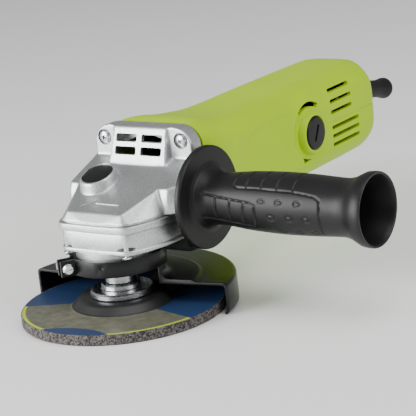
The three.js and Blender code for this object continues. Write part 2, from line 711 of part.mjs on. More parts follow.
const onShaft = SHAFT_R + REST_GAP;
const onThinShaft = SHAFT_R - 1 + REST_GAP;
const stackEnd = ARMATURE_X + STACK_LONG;

function armatureStack() {
  const body = ring(onShaft, ARMATURE_R, ARMATURE_X, stackEnd, 24);
  const slots = [];
  for (let i = 0; i < 12; i += 1) {
    const slot = block([12.4, 20], [-0.7, 0.7], [ARMATURE_X - 1, stackEnd + 1]);
    slots.push(slot.rotate([0, 0, i * 30]));
  }
  return toX(cut(body, slots));
}

const windingHead = (from, to) => toX(turned([
  [onShaft, from],
  [8, from],
  [13.4, from + 2.5],
  [13.4, to - 2.5],
  [8, to],
  [onShaft, to],
], 16));

function commutator() {
  const body = ring(onShaft, COMMUTATOR_R, COMMUTATOR_X, COMMUTATOR_X + COMMUTATOR_LONG, 20);
  const riser = ring(onShaft, COMMUTATOR_R + 1.4, COMMUTATOR_X - 2.4, COMMUTATOR_X + 0.2, 20);
  return toX(body.add(riser));
}

function fan() {
  const hub = ring(onShaft, 9, FAN_X, FAN_X + FAN_WIDE, 12);
  const back = ring(8, FAN_R, FAN_X + FAN_WIDE - 2, FAN_X + FAN_WIDE);
  const blades = [];
  for (let i = 0; i < FAN_BLADES; i += 1) {
    const blade = block([8, FAN_R - 1], [-0.8, 0.8], [FAN_X + 1.5, FAN_X + FAN_WIDE - 1]);
    blades.push(blade.rotate([0, 0, (i * 360) / FAN_BLADES]));
  }
  return toX(joined([hub, back, ...blades]));
}

const bearing = (inner, outer, from, wide) => toX(turned([
  [inner, from],
  [outer, from],
  [outer, from + wide],
  [inner, from + wide],
], 20));

// ---------------------------------------------------------------- stator and brushes
function statorStack() {
  const outline = roundedRectangle(2 * STATOR_HALF, 2 * STATOR_HALF, 13);
  const outside = toX(raised(outline, ARMATURE_X, stackEnd));
  const bore = toX(rod(ARMATURE_R + 0.6, ARMATURE_X - 1, stackEnd + 1, 24));
  const windows = [90, 270].map((turn) =>
    block([ARMATURE_X - 1, stackEnd + 1], [-9, 9], [10, 18.6]).rotate([turn, 0, 0]));
  return cut(outside, [bore, ...windows]);
}

// One field coil: a racetrack bar that fills a stator window and stands out of both ends.
function fieldCoil(side) {
  const y = [15.4, 18.2].map((v) => v * side).sort((a, b) => a - b);
  return block([ARMATURE_X - 6, stackEnd + 6], y, [-8.2, 8.2]);
}

const capSeatY = CAP_FACE_Y - CAP_THICK;
const brushRearY = COMMUTATOR_R + REST_GAP + BRUSH_LONG;

function brushHolder(side) {
  const outside = block([BRUSH_X - 5, BRUSH_X + 5], [13.4, capSeatY - 0.6], [-6.2, 6.2]);
  const inside = block([BRUSH_X - 3.5, BRUSH_X + 3.5], [12, capSeatY + 1], [-4.6, 4.6]);
  const holder = outside.subtract(inside);
  return side < 0 ? holder.rotate([0, 0, 180]).translate([2 * BRUSH_X, 0, 0]) : holder;
}

function carbonBrush(side) {
  const y = [COMMUTATOR_R + REST_GAP, brushRearY].map((v) => v * side).sort((a, b) => a - b);
  return block([BRUSH_X - 3.2, BRUSH_X + 3.2], y, [-4.3, 4.3]);
}

function brushSpring(side) {
  const spring = helix(2.3, 0.4, brushRearY + 0.2, capSeatY - REST_GAP, 3);
  const turnedSpring = side < 0 ? toMinusY(spring) : toMinusY(spring).rotate([180, 0, 0]);
  return moved(turnedSpring, BRUSH_X, 0, 0);
}

function brushCap(side) {
  const cap = turned([
    [0, capSeatY],
    [CAP_R, capSeatY],
    [CAP_R, CAP_FACE_Y - 0.6],
    [CAP_R - 0.6, CAP_FACE_Y],
    [0, CAP_FACE_Y],
  ], 20);
  const slot = block([-6, 6], [-0.9, 0.9], [CAP_FACE_Y - 1.2, CAP_FACE_Y + 1]).rotate([0, 0, 60]);
  const slotted = cap.subtract(slot);
  const placed = side < 0 ? toMinusY(slotted) : toMinusY(slotted).rotate([180, 0, 0]);
  return moved(placed, BRUSH_X, 0, 0);
}

// ---------------------------------------------------------------- plastic body, on the motor axis
// Length stations: [x, half width, half height, radius across the corners].
const stations = [
  [BODY_FRONT_X, FLARE_WIDE, FLARE_HALF + 1, FLARE_ROUND_R + 3.4],
  [60, FLARE_WIDE, FLARE_HALF, FLARE_ROUND_R],
  [85, BODY_HALF + 2.2, BODY_HALF + 2.4, BODY_ROUND_R + 3],
  [104, BODY_HALF + 0.2, BODY_HALF + 0.2, BODY_ROUND_R + 0.4],
  [BODY_REAR_X - 14, BODY_HALF - 0.4, BODY_HALF - 0.4, BODY_ROUND_R - 1],
  [BODY_REAR_X - 4, BODY_HALF - 3.6, BODY_HALF - 3.6, BODY_ROUND_R - 5.5],
  [BODY_REAR_X, BODY_HALF - 9.5, BODY_HALF - 9.5, BODY_ROUND_R - 13],
];

function bodyForm(inset) {
  const last = stations.length - 1;
  const along = stations.map(([x, wide, high, round], i) => {
    const shift = i === 0 ? -inset * 2 : i === last ? -inset : 0;
    return [x + shift, wide - inset, high - inset, round - inset];
  });
  const profile = along.map(([x, , , r]) => [r, x]);
  const round = toX(turned([[0, along[0][0]], ...profile, [0, along[last][0]]]));
  const side = (index) => {
    const up = along.map((s) => new THREE.Vector2(s[0], s[index]));
    const down = along.map((s) => new THREE.Vector2(s[0], -s[index])).reverse();
    return raised([...up, ...down], -FAR, FAR);
  };
  return round.intersect(side(1)).intersect(side(2).rotate([90, 0, 0]));
}

const capBoss = (side) => {
  const boss = rod(CAP_R + 2.6, 18, CAP_FACE_Y - 0.6, 20);
  const placed = side < 0 ? toMinusY(boss) : toMinusY(boss).rotate([180, 0, 0]);
  return moved(placed, BRUSH_X, 0, 0);
};

const capHole = (side) => {
  const hole = joined([rod(CAP_R + REST_GAP, capSeatY - REST_GAP, 40, 20), rod(8.6, 14, capSeatY, 12)]);
  const placed = side < 0 ? toMinusY(hole) : toMinusY(hole).rotate([180, 0, 0]);
  return moved(placed, BRUSH_X, 0, 0);
};

function vents() {
  return [UPPER_VENTS, LOWER_VENTS].flatMap(({ long, first, step }) =>
    [0, 1, 2].map((row) => {
      const z = first + row * step;
      const slot = (y) => block([ventX, ventX + long], y, [z - VENT_HIGH / 2, z + VENT_HIGH / 2]);
      return slot([12, 40]).add(slot([-40, -12]));
    }));
}

const tailHole = () =>
  moved(toX(rod(RELIEF_NECK_R + RUN_GAP, -20, 20)).rotate([0, TAIL_DROOP, 0]), BODY_REAR_X, 0, TAIL_EXIT_Z);
const lowerTail = (gap) => block([tailSplitX + gap, BODY_REAR_X + FAR], [-FAR, FAR], [-FAR, -gap]);

function motorHousing() {
  const shell = joined([bodyForm(0), capBoss(1), capBoss(-1)]).subtract(bodyForm(WALL));
  const screwBoss = toX(rod(5, BODY_FRONT_X, BODY_FRONT_X + 14.8, 10));
  const screwHole = toX(rod(2.2, BODY_FRONT_X - 1, BODY_FRONT_X + 8.8, 10));
  const atScrews = (shape) => housingScrewSpots.map(([y, z]) => moved(shape, 0, y, z));
  const atClamp = (shape) => [-CLAMP_SCREW_Y, CLAMP_SCREW_Y].map((y) => moved(shape, clampX, y, 0));
  const clampPosts = atClamp(rod(3, 0.2, BODY_HALF - 1.8, 10));
  const clampHoles = atClamp(rod(1.7, -1, 8, 10));
  const seatRing = toX(rod(REAR_BEARING_R + 3, REAR_BEARING_X - 2.4, REAR_BEARING_X + 6.5, 28));
  const spokes = [0, 90].map((turn) =>
    block([REAR_BEARING_X - 2.4, REAR_BEARING_X + 5], [1.8 - BODY_HALF, BODY_HALF - 1.8], [-3, 3])
      .rotate([turn, 0, 0]));
  const inside = joined([seatRing, ...spokes, ...atScrews(screwBoss), ...clampPosts]).intersect(bodyForm(1));
  const bearingSeat = toX(rod(REAR_BEARING_R + REST_GAP, REAR_BEARING_X - REST_GAP, REAR_BEARING_X + 9, 28));
  const shaftHole = toX(rod(5.5, REAR_BEARING_X - 9, REAR_BEARING_X + 1, 20));
  const slotX = [thumbX[0] - SWITCH_TRAVEL - RUN_GAP, thumbX[1] + RUN_GAP];
  const slotZ = [SWITCH_Z - thumbHalf - 0.5, SWITCH_Z + thumbHalf + 0.5];
  const switchSlot = block(slotX, [20, 40], slotZ);
  const front = block([0, BODY_FRONT_X], [-FAR, FAR], [-FAR, FAR]);
  const whole = joined([shell, inside]);
  return cut(whole, [
    bearingSeat, shaftHole, switchSlot, front, capHole(1), capHole(-1), ...vents(),
    lowerTail(0), tailHole(), ...atScrews(screwHole), ...clampHoles,
  ]);
}

const tailScrewXs = [tailSplitX + 6, BODY_REAR_X - 25];
const tailScrewSeatZ = 3 - BODY_HALF;

function rearCover() {
  const shell = bodyForm(0).subtract(bodyForm(WALL)).intersect(lowerTail(REST_GAP));
  const atScrews = (tool) => tailScrewXs.map((x) => moved(tool, x, 0, 0));
  const posts = atScrews(rod(3.4, 1 - BODY_HALF, -REST_GAP, 16));
  const holes = atScrews(rod(1.7, -FAR, 5, 12));
  const counterbores = atScrews(rod(3.2, -FAR, tailScrewSeatZ, 16));
  return cut(joined([shell, ...posts]), [...holes, ...counterbores, ...vents(), tailHole()]);
}

// ---------------------------------------------------------------- switch and cord outlet
const guideY = [22.2, 23.4];

function switchButton() {
  const thumb = block(thumbX, [22.3, BODY_HALF + 1.6], [SWITCH_Z - thumbHalf, SWITCH_Z + thumbHalf]);
  const guide = block([thumbX[0] - 3, guideRearX], guideY, [SWITCH_Z - 3.6, SWITCH_Z + 0.4]);
  return thumb.add(guide);
}

const switchRod = () =>
  block([guideRearX + REST_GAP, switchBodyX - 3], guideY, [SWITCH_Z - 2.2, SWITCH_Z + 0.4]);

function switchBody() {
  const rearX = switchBodyX + SWITCH_BODY_LONG;
  const body = block([switchBodyX, rearX], [-9, 9], [4, 22]);
  const terminals = [-5, 0, 5].map((y) => block([rearX - 1, rearX + 4], [y - 0.9, y + 0.9], [9, 17]));
  return joined([body, ...terminals]);
}

function strainRelief() {
  const tip = RELIEF_LONG;
  const sleeve = turned([
    [RELIEF_BORE_R, -12],
    [7.6, -12],
    [7.6, -9.4],
    [RELIEF_NECK_R, -9.4],
    [RELIEF_NECK_R + 0.3, 12],
    [RELIEF_NECK_R - 0.3, tip - 13.6],
    [RELIEF_NECK_R + 1, tip - 3.6],
    [RELIEF_NECK_R + 0.8, tip - 0.6],
    [5.2, tip],
    [RELIEF_BORE_R, tip - 2],
  ], 16);
  return moved(toX(sleeve).rotate([0, TAIL_DROOP, 0]), BODY_REAR_X, 0, TAIL_EXIT_Z);
}

const clampLow = -3.4;

function cordClamp() {
  const reach = CLAMP_SCREW_Y + 2.8;
  const bar = block([clampX - 2.8, clampX + 2.8], [-reach, reach], [clampLow, -REST_GAP]);
  const holes = [-CLAMP_SCREW_Y, CLAMP_SCREW_Y].map((y) => moved(rod(1.7, -10, 10, 10), clampX, y, 0));
  return cut(bar, holes);
}

const cordClampScrew = (side) =>
  moved(panScrew(2.9, 2, 1.4, 9), clampX, side * CLAMP_SCREW_Y, clampLow - REST_GAP);

// ---------------------------------------------------------------- side handle, along -Y
function sideHandle() {
  const root = 3.4; // flange thickness
  const long = HANDLE_LONG;
  const outline = [
    [HANDLE_STUD_R + REST_GAP, 0],
    [HANDLE_FLANGE_R, 0],
    [HANDLE_FLANGE_R, root],
    [16.5, root + 0.6],
    [14.4, root + 8],
    [14.8, 20],
    [HANDLE_GRIP_R - 0.7, 34],
    [HANDLE_GRIP_R, 54],
    [HANDLE_GRIP_R - 1.1, 89],
    [HANDLE_GRIP_R, 97],
    [HANDLE_END_R - 1.1, 102.4],
    [HANDLE_END_R, 107],
    [HANDLE_END_R, long],
    [HANDLE_END_R - 1.5, long],
    [HANDLE_END_R - 5, long - 12],
    [11.6, 66],
    [0, 64],
    [0, STUD_IN_HANDLE + 1],
    [HANDLE_STUD_R + REST_GAP, STUD_IN_HANDLE + 1],
  ];
  return toMinusY(turned(outline, 24));
}

const handleStud = () => toMinusY(turned([
  [0, -16],
  [HANDLE_STUD_R - 1, -16],
  [HANDLE_STUD_R, -15],
  [HANDLE_STUD_R, STUD_IN_HANDLE],
  [0, STUD_IN_HANDLE],
], 14));

// ---------------------------------------------------------------- assembly
const discGroup = group([0, 0, 0],
  node("grinding_disc", grindingDisc(), abrasive()),
  node("inner_flange", innerFlange(), plainSteel()),
  node("clamp_nut", clampNut(), darkSteel()),
  node("spindle", spindle(), plainSteel()),
  node("crown_gear", crownGear(), darkSteel()),
  node("spindle_bearing_inner", spindleInnerRing(), plainSteel()),
);

const headGroup = group([0, 0, 0],
  node("gear_housing", gearHousing(), cast()),
  node("gear_cover", gearCover(), cast()),
  node("spindle_bearing_outer", spindleOuterRing(), plainSteel()),
  node("bearing_retainer", bearingRetainer(), darkSteel()),
  node("spindle_top_bush", topBush(), brass()),
);
const coverScrewLong = jointZ - COVER_BOTTOM_Z + 2.5; // through the cover and into the housing
coverScrewSpots.forEach(([x, y], i) => {
  const screw = moved(panScrew(2.7, 1.8, 1.5, coverScrewLong), x, y, COVER_BOTTOM_Z - REST_GAP);
  headGroup.add(node(`cover_screw_${i + 1}`, screw, plainSteel()));
});
housingScrewSpots.forEach(([y, z], i) => {
  const screw = toX(panScrew(4, 2.8, 1.9, 15));
  const placed = moved(screw, FLANGE_FRONT_X + SCREW_SINK - REST_GAP, y, MOTOR_Z + z);
  headGroup.add(node(`housing_screw_${i + 1}`, placed, plainSteel()));
});

const lockGroup = group([0, 0, 0],
  node("lock_button", lockButton(), blackPlastic()),
  node("lock_pin", lockPin(), plainSteel()),
  node("lock_spring", lockSpring(), plainSteel()),
);

const guardGroup = group([0, 0, 0],
  node("guard", guard(), blackSteel()),
  node("guard_band", guardBand(), blackSteel()),
  node("guard_band_screw", bandScrew(), plainSteel()),
  node("guard_band_nut", bandNut(), plainSteel()),
);

const motorGroup = group([0, 0, MOTOR_Z],
  node("armature_shaft", armatureShaft(), plainSteel()),
  node("pinion", pinion(), darkSteel()),
  node("pinion_nut", pinionNut(), plainSteel()),
  node("armature_stack", armatureStack(), darkSteel()),
  node("armature_winding_front", windingHead(ARMATURE_X - 12, ARMATURE_X - REST_GAP), copper()),
  node("armature_winding_rear", windingHead(stackEnd + REST_GAP, stackEnd + 16), copper()),
  node("commutator", commutator(), copper()),
  node("fan", fan(), blackPlastic()),
  node("front_bearing", bearing(onShaft, BEARING_R, FRONT_BEARING_X, BEARING_WIDE), plainSteel()),
  node("rear_bearing", bearing(onThinShaft, REAR_BEARING_R, REAR_BEARING_X, 6), plainSteel()),
  node("stator_stack", statorStack(), darkSteel()),
  node("motor_housing", motorHousing(), limePlastic()),
  node("rear_cover", rearCover(), limePlastic()),
  node("switch_body", switchBody(), blackPlastic()),
  node("switch_button", switchButton(), blackPlastic()),
  node("switch_rod", switchRod(), blackPlastic()),
  node("strain_relief", strainRelief(), rubber()),
  node("cord_clamp", cordClamp(), blackPlastic()),
);
[["left", 1], ["right", -1]].forEach(([label, side]) => {
  motorGroup.add(
    node(`field_coil_${label}`, fieldCoil(side), copper()),
    node(`brush_holder_${label}`, brushHolder(side), brass()),
    node(`carbon_brush_${label}`, carbonBrush(side), carbon()),
    node(`brush_spring_${label}`, brushSpring(side), plainSteel()),
    node(`brush_cap_${label}`, brushCap(side), blackPlastic()),
    node(`cord_clamp_screw_${label}`, cordClampScrew(side), plainSteel()),
  );
});
tailScrewXs.forEach((x, i) => {
  const screw = moved(panScrew(2.9, 2, 1.4, 22), x, 0, tailScrewSeatZ - REST_GAP);
  motorGroup.add(node(`rear_cover_screw_${i + 1}`, screw, plainSteel()));
});

const handleGroup = group([HANDLE_X, -HANDLE_SEAT_Y - REST_GAP, handleZ],
  node("side_handle", sideHandle(), blackPlastic()),
  node("handle_stud", handleStud(), plainSteel()),
);

const grinder = group([0, 0, 0], discGroup, headGroup, lockGroup, guardGroup, motorGroup, handleGroup);
export default grinder;
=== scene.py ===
"""Angle grinder: the finished surfaces and finishes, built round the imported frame.

Metres, in the frame's own axes: the origin is the spindle's lower end, +X runs back along the
motor, +Z is up, and the side handle stands out towards -Y.
"""
import json
import math

import bpy
from mathutils import Matrix, Vector


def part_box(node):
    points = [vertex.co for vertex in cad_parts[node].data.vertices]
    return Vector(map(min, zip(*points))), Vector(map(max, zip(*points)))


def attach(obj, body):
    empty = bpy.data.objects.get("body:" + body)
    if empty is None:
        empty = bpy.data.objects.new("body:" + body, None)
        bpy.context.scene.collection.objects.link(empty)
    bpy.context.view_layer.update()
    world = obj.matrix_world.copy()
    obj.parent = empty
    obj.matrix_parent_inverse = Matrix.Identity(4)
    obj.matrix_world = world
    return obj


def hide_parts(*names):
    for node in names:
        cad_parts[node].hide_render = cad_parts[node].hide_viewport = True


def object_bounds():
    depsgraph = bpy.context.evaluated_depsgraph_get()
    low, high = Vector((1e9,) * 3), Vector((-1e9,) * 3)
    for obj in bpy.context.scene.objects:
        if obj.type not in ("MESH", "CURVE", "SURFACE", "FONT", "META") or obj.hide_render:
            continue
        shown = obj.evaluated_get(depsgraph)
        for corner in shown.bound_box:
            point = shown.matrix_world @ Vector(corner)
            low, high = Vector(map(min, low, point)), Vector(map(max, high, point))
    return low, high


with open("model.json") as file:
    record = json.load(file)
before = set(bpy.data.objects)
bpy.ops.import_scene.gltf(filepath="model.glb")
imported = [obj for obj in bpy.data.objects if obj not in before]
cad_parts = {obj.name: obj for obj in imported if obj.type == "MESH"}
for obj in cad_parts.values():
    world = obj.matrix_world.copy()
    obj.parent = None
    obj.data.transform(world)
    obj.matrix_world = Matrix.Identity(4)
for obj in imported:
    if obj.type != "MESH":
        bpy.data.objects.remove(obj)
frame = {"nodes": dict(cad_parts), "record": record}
cad_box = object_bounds()
mm = 0.001


# ---------------------------------------------------------------- tools for modelling
def activate(piece):
    """Leaves the piece as the only one selected, in object mode."""
    if bpy.context.object and bpy.context.object.mode != "OBJECT":
        bpy.ops.object.mode_set(mode="OBJECT")
    bpy.ops.object.select_all(action="DESELECT")
    piece.select_set(True)
    bpy.context.view_layer.objects.active = piece


def primitive(name, kind, **settings):
    """A new mesh primitive, by its operator's name."""
    if bpy.context.object and bpy.context.object.mode != "OBJECT":
        bpy.ops.object.mode_set(mode="OBJECT")
    bpy.ops.object.select_all(action="DESELECT")
    getattr(bpy.ops.mesh, f"primitive_{kind}_add")(**settings)
    piece = bpy.context.object
    piece.name = piece.data.name = name
    bpy.ops.object.transform_apply(location=True, rotation=True, scale=True)
    return piece


def select(piece, kind, test):
    """Enters edit mode with the vertices, edges or faces selected whose place passes the test."""
    activate(piece)
    bpy.ops.object.mode_set(mode="EDIT")
    bpy.ops.mesh.select_mode(type=kind)
    bpy.ops.mesh.select_all(action="DESELECT")
    bpy.ops.object.mode_set(mode="OBJECT")
    mesh = piece.data
    if kind == "VERT":
        for vertex in mesh.vertices:
            vertex.select = test(vertex.co)
    elif kind == "EDGE":
        for edge in mesh.edges:
            ends = [mesh.vertices[index].co for index in edge.vertices]
            edge.select = test((ends[0] + ends[1]) / 2, ends[1] - ends[0])
    else:
        for face in mesh.polygons:
            face.select = test(face.center, face.normal)
    bpy.ops.object.mode_set(mode="EDIT")


def select_all(piece):
    """Enters edit mode with everything selected."""
    activate(piece)
    bpy.ops.object.mode_set(mode="EDIT")
    bpy.ops.mesh.select_all(action="SELECT")


def done():
    """Goes back to object mode."""
    bpy.ops.object.mode_set(mode="OBJECT")


def modify(piece, kind, **settings):
    """Adds a modifier and applies it."""
    modifier = piece.modifiers.new(kind.lower(), kind)
    for name, value in settings.items():
        setattr(modifier, name, value)
    activate(piece)
    bpy.ops.object.modifier_apply(modifier=modifier.name)


def round_edges(piece, width, segments=3, angle=35):
    """Bevels the edges of a piece."""
    modify(piece, "BEVEL", width=width, segments=segments, limit_method="ANGLE",
           angle_limit=math.radians(angle), use_clamp_overlap=True, harden_normals=False)


def smooth(piece, angle=35):
    """Shades a piece smooth below an angle in degrees."""
    activate(piece)
    bpy.ops.object.shade_smooth_by_angle(angle=math.radians(angle))


def cut(piece, *tools):
    """Takes each tool's solid out of the piece, and removes the tool."""
    for tool in tools:
        modify(piece, "BOOLEAN", operation="DIFFERENCE", object=tool, solver="EXACT")
        bpy.data.objects.remove(tool)


def weld(piece, *others):
    """Joins the other solids to the piece with a boolean, and removes them."""
    for other in others:
        modify(piece, "BOOLEAN", operation="UNION", object=other, solver="EXACT")
        bpy.data.objects.remove(other)


def gather(piece, *others):
    """Puts the other meshes into the piece's mesh as they are."""
    activate(piece)
    for other in others:
        other.select_set(True)
    bpy.ops.object.join()
    return piece


def box(name, low, high):
    """A block between two corners, in millimetres like the shapes below."""
    low, high = Vector(low) * mm, Vector(high) * mm
    piece = primitive(name, "cube", size=1)
    piece.data.transform(Matrix.Translation((low + high) / 2) @ Matrix.Diagonal((high - low).to_4d()))
    return piece


def rod(name, radius, start, end, sides=48):
    """A solid cylinder between two points."""
    start, end = Vector(start) * mm, Vector(end) * mm
    piece = primitive(name, "cylinder", vertices=sides, radius=radius * mm, depth=(end - start).length)
    turn = (end - start).to_track_quat("Z", "Y").to_matrix().to_4x4()
    piece.data.transform(Matrix.Translation((start + end) / 2) @ turn)
    return piece


def plate(name, outline, low, high):
    """A flat outline, raised from one height to another: a round face is drawn out and extruded."""
    piece = primitive(name, "circle", vertices=len(outline), radius=1, fill_type="NGON")
    for vertex, (x, y) in zip(piece.data.vertices, outline):
        vertex.co = Vector((x, y, low)) * mm
    select_all(piece)
    bpy.ops.mesh.extrude_region_move(TRANSFORM_OT_translate={"value": (0, 0, (high - low) * mm)})
    bpy.ops.mesh.select_all(action="SELECT")
    bpy.ops.mesh.normals_make_consistent(inside=False)
    done()
    return piece


def lathe(name, profile, steps=96, axis="Z", turn=360, start=0, filled=False):
    """Spins an outline of (radius, height) points about Z, then lays its Z along another axis."""
    fill = "NGON" if filled else "NOTHING"
    piece = primitive(name, "circle", vertices=len(profile), radius=1, fill_type=fill)
    for vertex, (radius, height) in zip(piece.data.vertices, profile):
        vertex.co = Vector((radius, 0, height)) * mm
    piece.data.transform(Matrix.Rotation(math.radians(start), 4, "Z"))
    select(piece, "EDGE", lambda middle, along: middle.xy.length < 1e-7)
    if not filled:
        bpy.ops.mesh.delete(type="EDGE_FACE")
    bpy.ops.mesh.select_all(action="SELECT")
    bpy.ops.mesh.spin(steps=steps, angle=math.radians(turn), center=(0, 0, 0), axis=(0, 0, 1))
    bpy.ops.mesh.select_all(action="SELECT")
    bpy.ops.mesh.remove_doubles(threshold=1e-7)
    bpy.ops.mesh.normals_make_consistent(inside=False)
    done()
    turns = {
        "Z": Matrix(),
        "X": Matrix.Rotation(math.pi / 2, 4, "Y"),
        "-Y": Matrix.Rotation(math.pi / 2, 4, "X"),
        "Y": Matrix.Rotation(-math.pi / 2, 4, "X"),
    }
    piece.data.transform(turns[axis])
    return piece


def move(piece, x=0.0, y=0.0, z=0.0):
    """Moves a mesh, in millimetres."""
    piece.data.transform(Matrix.Translation(Vector((x, y, z)) * mm))
    return piece


def copied(piece, name):
    """A copy with a mesh of its own."""
    twin = piece.copy()
    twin.data = piece.data.copy()
    twin.name = twin.data.name = name
    bpy.context.scene.collection.objects.link(twin)
    return twin


def refined(name, node, width=0.3 * mm, segments=2, angle=30):
    """A copy of a frame node with its triangles merged into faces and its edges broken."""
    source = frame["nodes"][node]
    piece = copied(source, name)
    piece.parent = None
    for key in list(piece.keys()):
        del piece[key]
    piece.data.materials.clear()
    select_all(piece)
    bpy.ops.mesh.remove_doubles(threshold=1e-6)
    bpy.ops.mesh.dissolve_limited(angle_limit=math.radians(1))
    done()
    if width:
        round_edges(piece, width, segments, angle)
    smooth(piece, 40)
    return piece


# ---------------------------------------------------------------- finishes
def shade(code):
    """An sRGB hex code as the linear colour that a shader takes."""
    parts = [int(code[i:i + 2], 16) / 255 for i in (1, 3, 5)]
    linear = [c / 12.92 if c <= 0.04045 else ((c + 0.055) / 1.055) ** 2.4 for c in parts]
    return (*linear, 1)


def add(tree, kind, inputs=None, **settings):
    """Adds a shader node, with its settings, its input values and its links."""
    made = tree.nodes.new("ShaderNode" + kind)
    for name, value in settings.items():
        setattr(made, name, value)
    for socket, value in (inputs or {}).items():
        if isinstance(value, bpy.types.NodeSocket):
            tree.links.new(value, made.inputs[socket])
        else:
            made.inputs[socket].default_value = value
    return made


def finish(name):
    """An empty material with its shader, and the object coordinates that its patterns follow."""
    material = bpy.data.materials.new(name)
    material.use_nodes = True
    tree = material.node_tree
    tree.nodes.clear()
    shader = add(tree, "BsdfPrincipled")
    add(tree, "OutputMaterial", {"Surface": shader.outputs[0]})
    place = add(tree, "TexCoord").outputs["Object"]
    return material, tree, shader, place


def plug(tree, shader, **sockets):
    """Joins the patterns to the shader's inputs."""
    names = {"color": "Base Color", "roughness": "Roughness", "normal": "Normal", "metal": "Metallic"}
    for key, socket in sockets.items():
        tree.links.new(socket, shader.inputs[names[key]])


def per_mm(size):
    """The noise scale whose features are about size millimetres across."""
    return 1000 / size


def die_cast_aluminium():
    """Die-cast aluminium, shot-blasted: bright, with a fine sand-like grain and soft broad glints."""
    material, tree, shader, place = finish("die_cast_aluminium")
    shader.inputs["Metallic"].default_value = 1
    grain = add(tree, "TexNoise", {"Vector": place, "Scale": per_mm(0.9), "Detail": 4, "Roughness": 0.7})
    patch = add(tree, "TexNoise", {"Vector": place, "Scale": per_mm(14), "Detail": 3})
    tone = add(tree, "ValToRGB", {"Fac": grain.outputs["Fac"]})
    tone.color_ramp.elements[0].position = 0.3
    tone.color_ramp.elements[0].color = shade("#A9ADAE")
    tone.color_ramp.elements[1].position = 0.7
    tone.color_ramp.elements[1].color = shade("#DADCDC")
    rough = add(tree, "MapRange", {"Value": patch.outputs["Fac"], "To Min": 0.36, "To Max": 0.5})
    bump = add(tree, "Bump", {"Height": grain.outputs["Fac"], "Distance": 0.09 * mm, "Strength": 0.55})
    plug(tree, shader, color=tone.outputs["Color"], roughness=rough.outputs[0], normal=bump.outputs[0])
    return material


def lime_nylon():
    """Glass-filled nylon moulded in lime green: satin, with a very fine leathery mould texture."""
    material, tree, shader, place = finish("moulded_lime_nylon")
    shader.inputs["Specular IOR Level"].default_value = 0.12
    speck = add(tree, "TexNoise", {"Vector": place, "Scale": per_mm(0.7), "Detail": 3})
    patch = add(tree, "TexNoise", {"Vector": place, "Scale": per_mm(45), "Detail": 2})
    tone = add(tree, "ValToRGB", {"Fac": patch.outputs["Fac"]})
    tone.color_ramp.elements[0].position = 0.3
    tone.color_ramp.elements[0].color = shade("#A6CC00")
    tone.color_ramp.elements[1].position = 0.7
    tone.color_ramp.elements[1].color = shade("#AED200")
    rough = add(tree, "MapRange", {"Value": speck.outputs["Fac"], "To Min": 0.36, "To Max": 0.46})
    bump = add(tree, "Bump", {"Height": speck.outputs["Fac"], "Distance": 0.03 * mm, "Strength": 0.35})
    plug(tree, shader, color=tone.outputs["Color"], roughness=rough.outputs[0], normal=bump.outputs[0])
    return material


def satin_black(name, dark, light, low, high, size, depth):
    """A black moulding or paint: a faint tone change, and a fine texture that breaks the gloss."""
    material, tree, shader, place = finish(name)
    shader.inputs["Specular IOR Level"].default_value = 0.3
    speck = add(tree, "TexNoise", {"Vector": place, "Scale": per_mm(size), "Detail": 3})
    patch = add(tree, "TexNoise", {"Vector": place, "Scale": per_mm(20), "Detail": 2})
    tone = add(tree, "ValToRGB", {"Fac": patch.outputs["Fac"]})
    tone.color_ramp.elements[0].position = 0.3
    tone.color_ramp.elements[0].color = shade(dark)
    tone.color_ramp.elements[1].position = 0.7
    tone.color_ramp.elements[1].color = shade(light)
    rough = add(tree, "MapRange", {"Value": speck.outputs["Fac"], "To Min": low, "To Max": high})
    bump = add(tree, "Bump", {"Height": speck.outputs["Fac"], "Distance": depth * mm, "Strength": 0.4})
    plug(tree, shader, color=tone.outputs["Color"], roughness=rough.outputs[0], normal=bump.outputs[0])
    return material


def bare_metal(name, dark, light, low, high, streak):
    """A turned or plated metal: streaks run round or along it, as streak stretches the noise."""
    material, tree, shader, place = finish(name)
    shader.inputs["Metallic"].default_value = 1
    drawn = add(tree, "Mapping", {"Vector": place, "Scale": streak})
    lines = add(tree, "TexNoise", {"Vector": drawn.outputs[0], "Scale": per_mm(1.2), "Detail": 4})
    tone = add(tree, "ValToRGB", {"Fac": lines.outputs["Fac"]})
    tone.color_ramp.elements[0].position = 0.3
    tone.color_ramp.elements[0].color = shade(dark)
    tone.color_ramp.elements[1].position = 0.7
    tone.color_ramp.elements[1].color = shade(light)
    rough = add(tree, "MapRange", {"Value": lines.outputs["Fac"], "To Min": low, "To Max": high})
    bump = add(tree, "Bump", {"Height": lines.outputs["Fac"], "Distance": 0.02 * mm, "Strength": 0.3})
    plug(tree, shader, color=tone.outputs["Color"], roughness=rough.outputs[0], normal=bump.outputs[0])
    return material


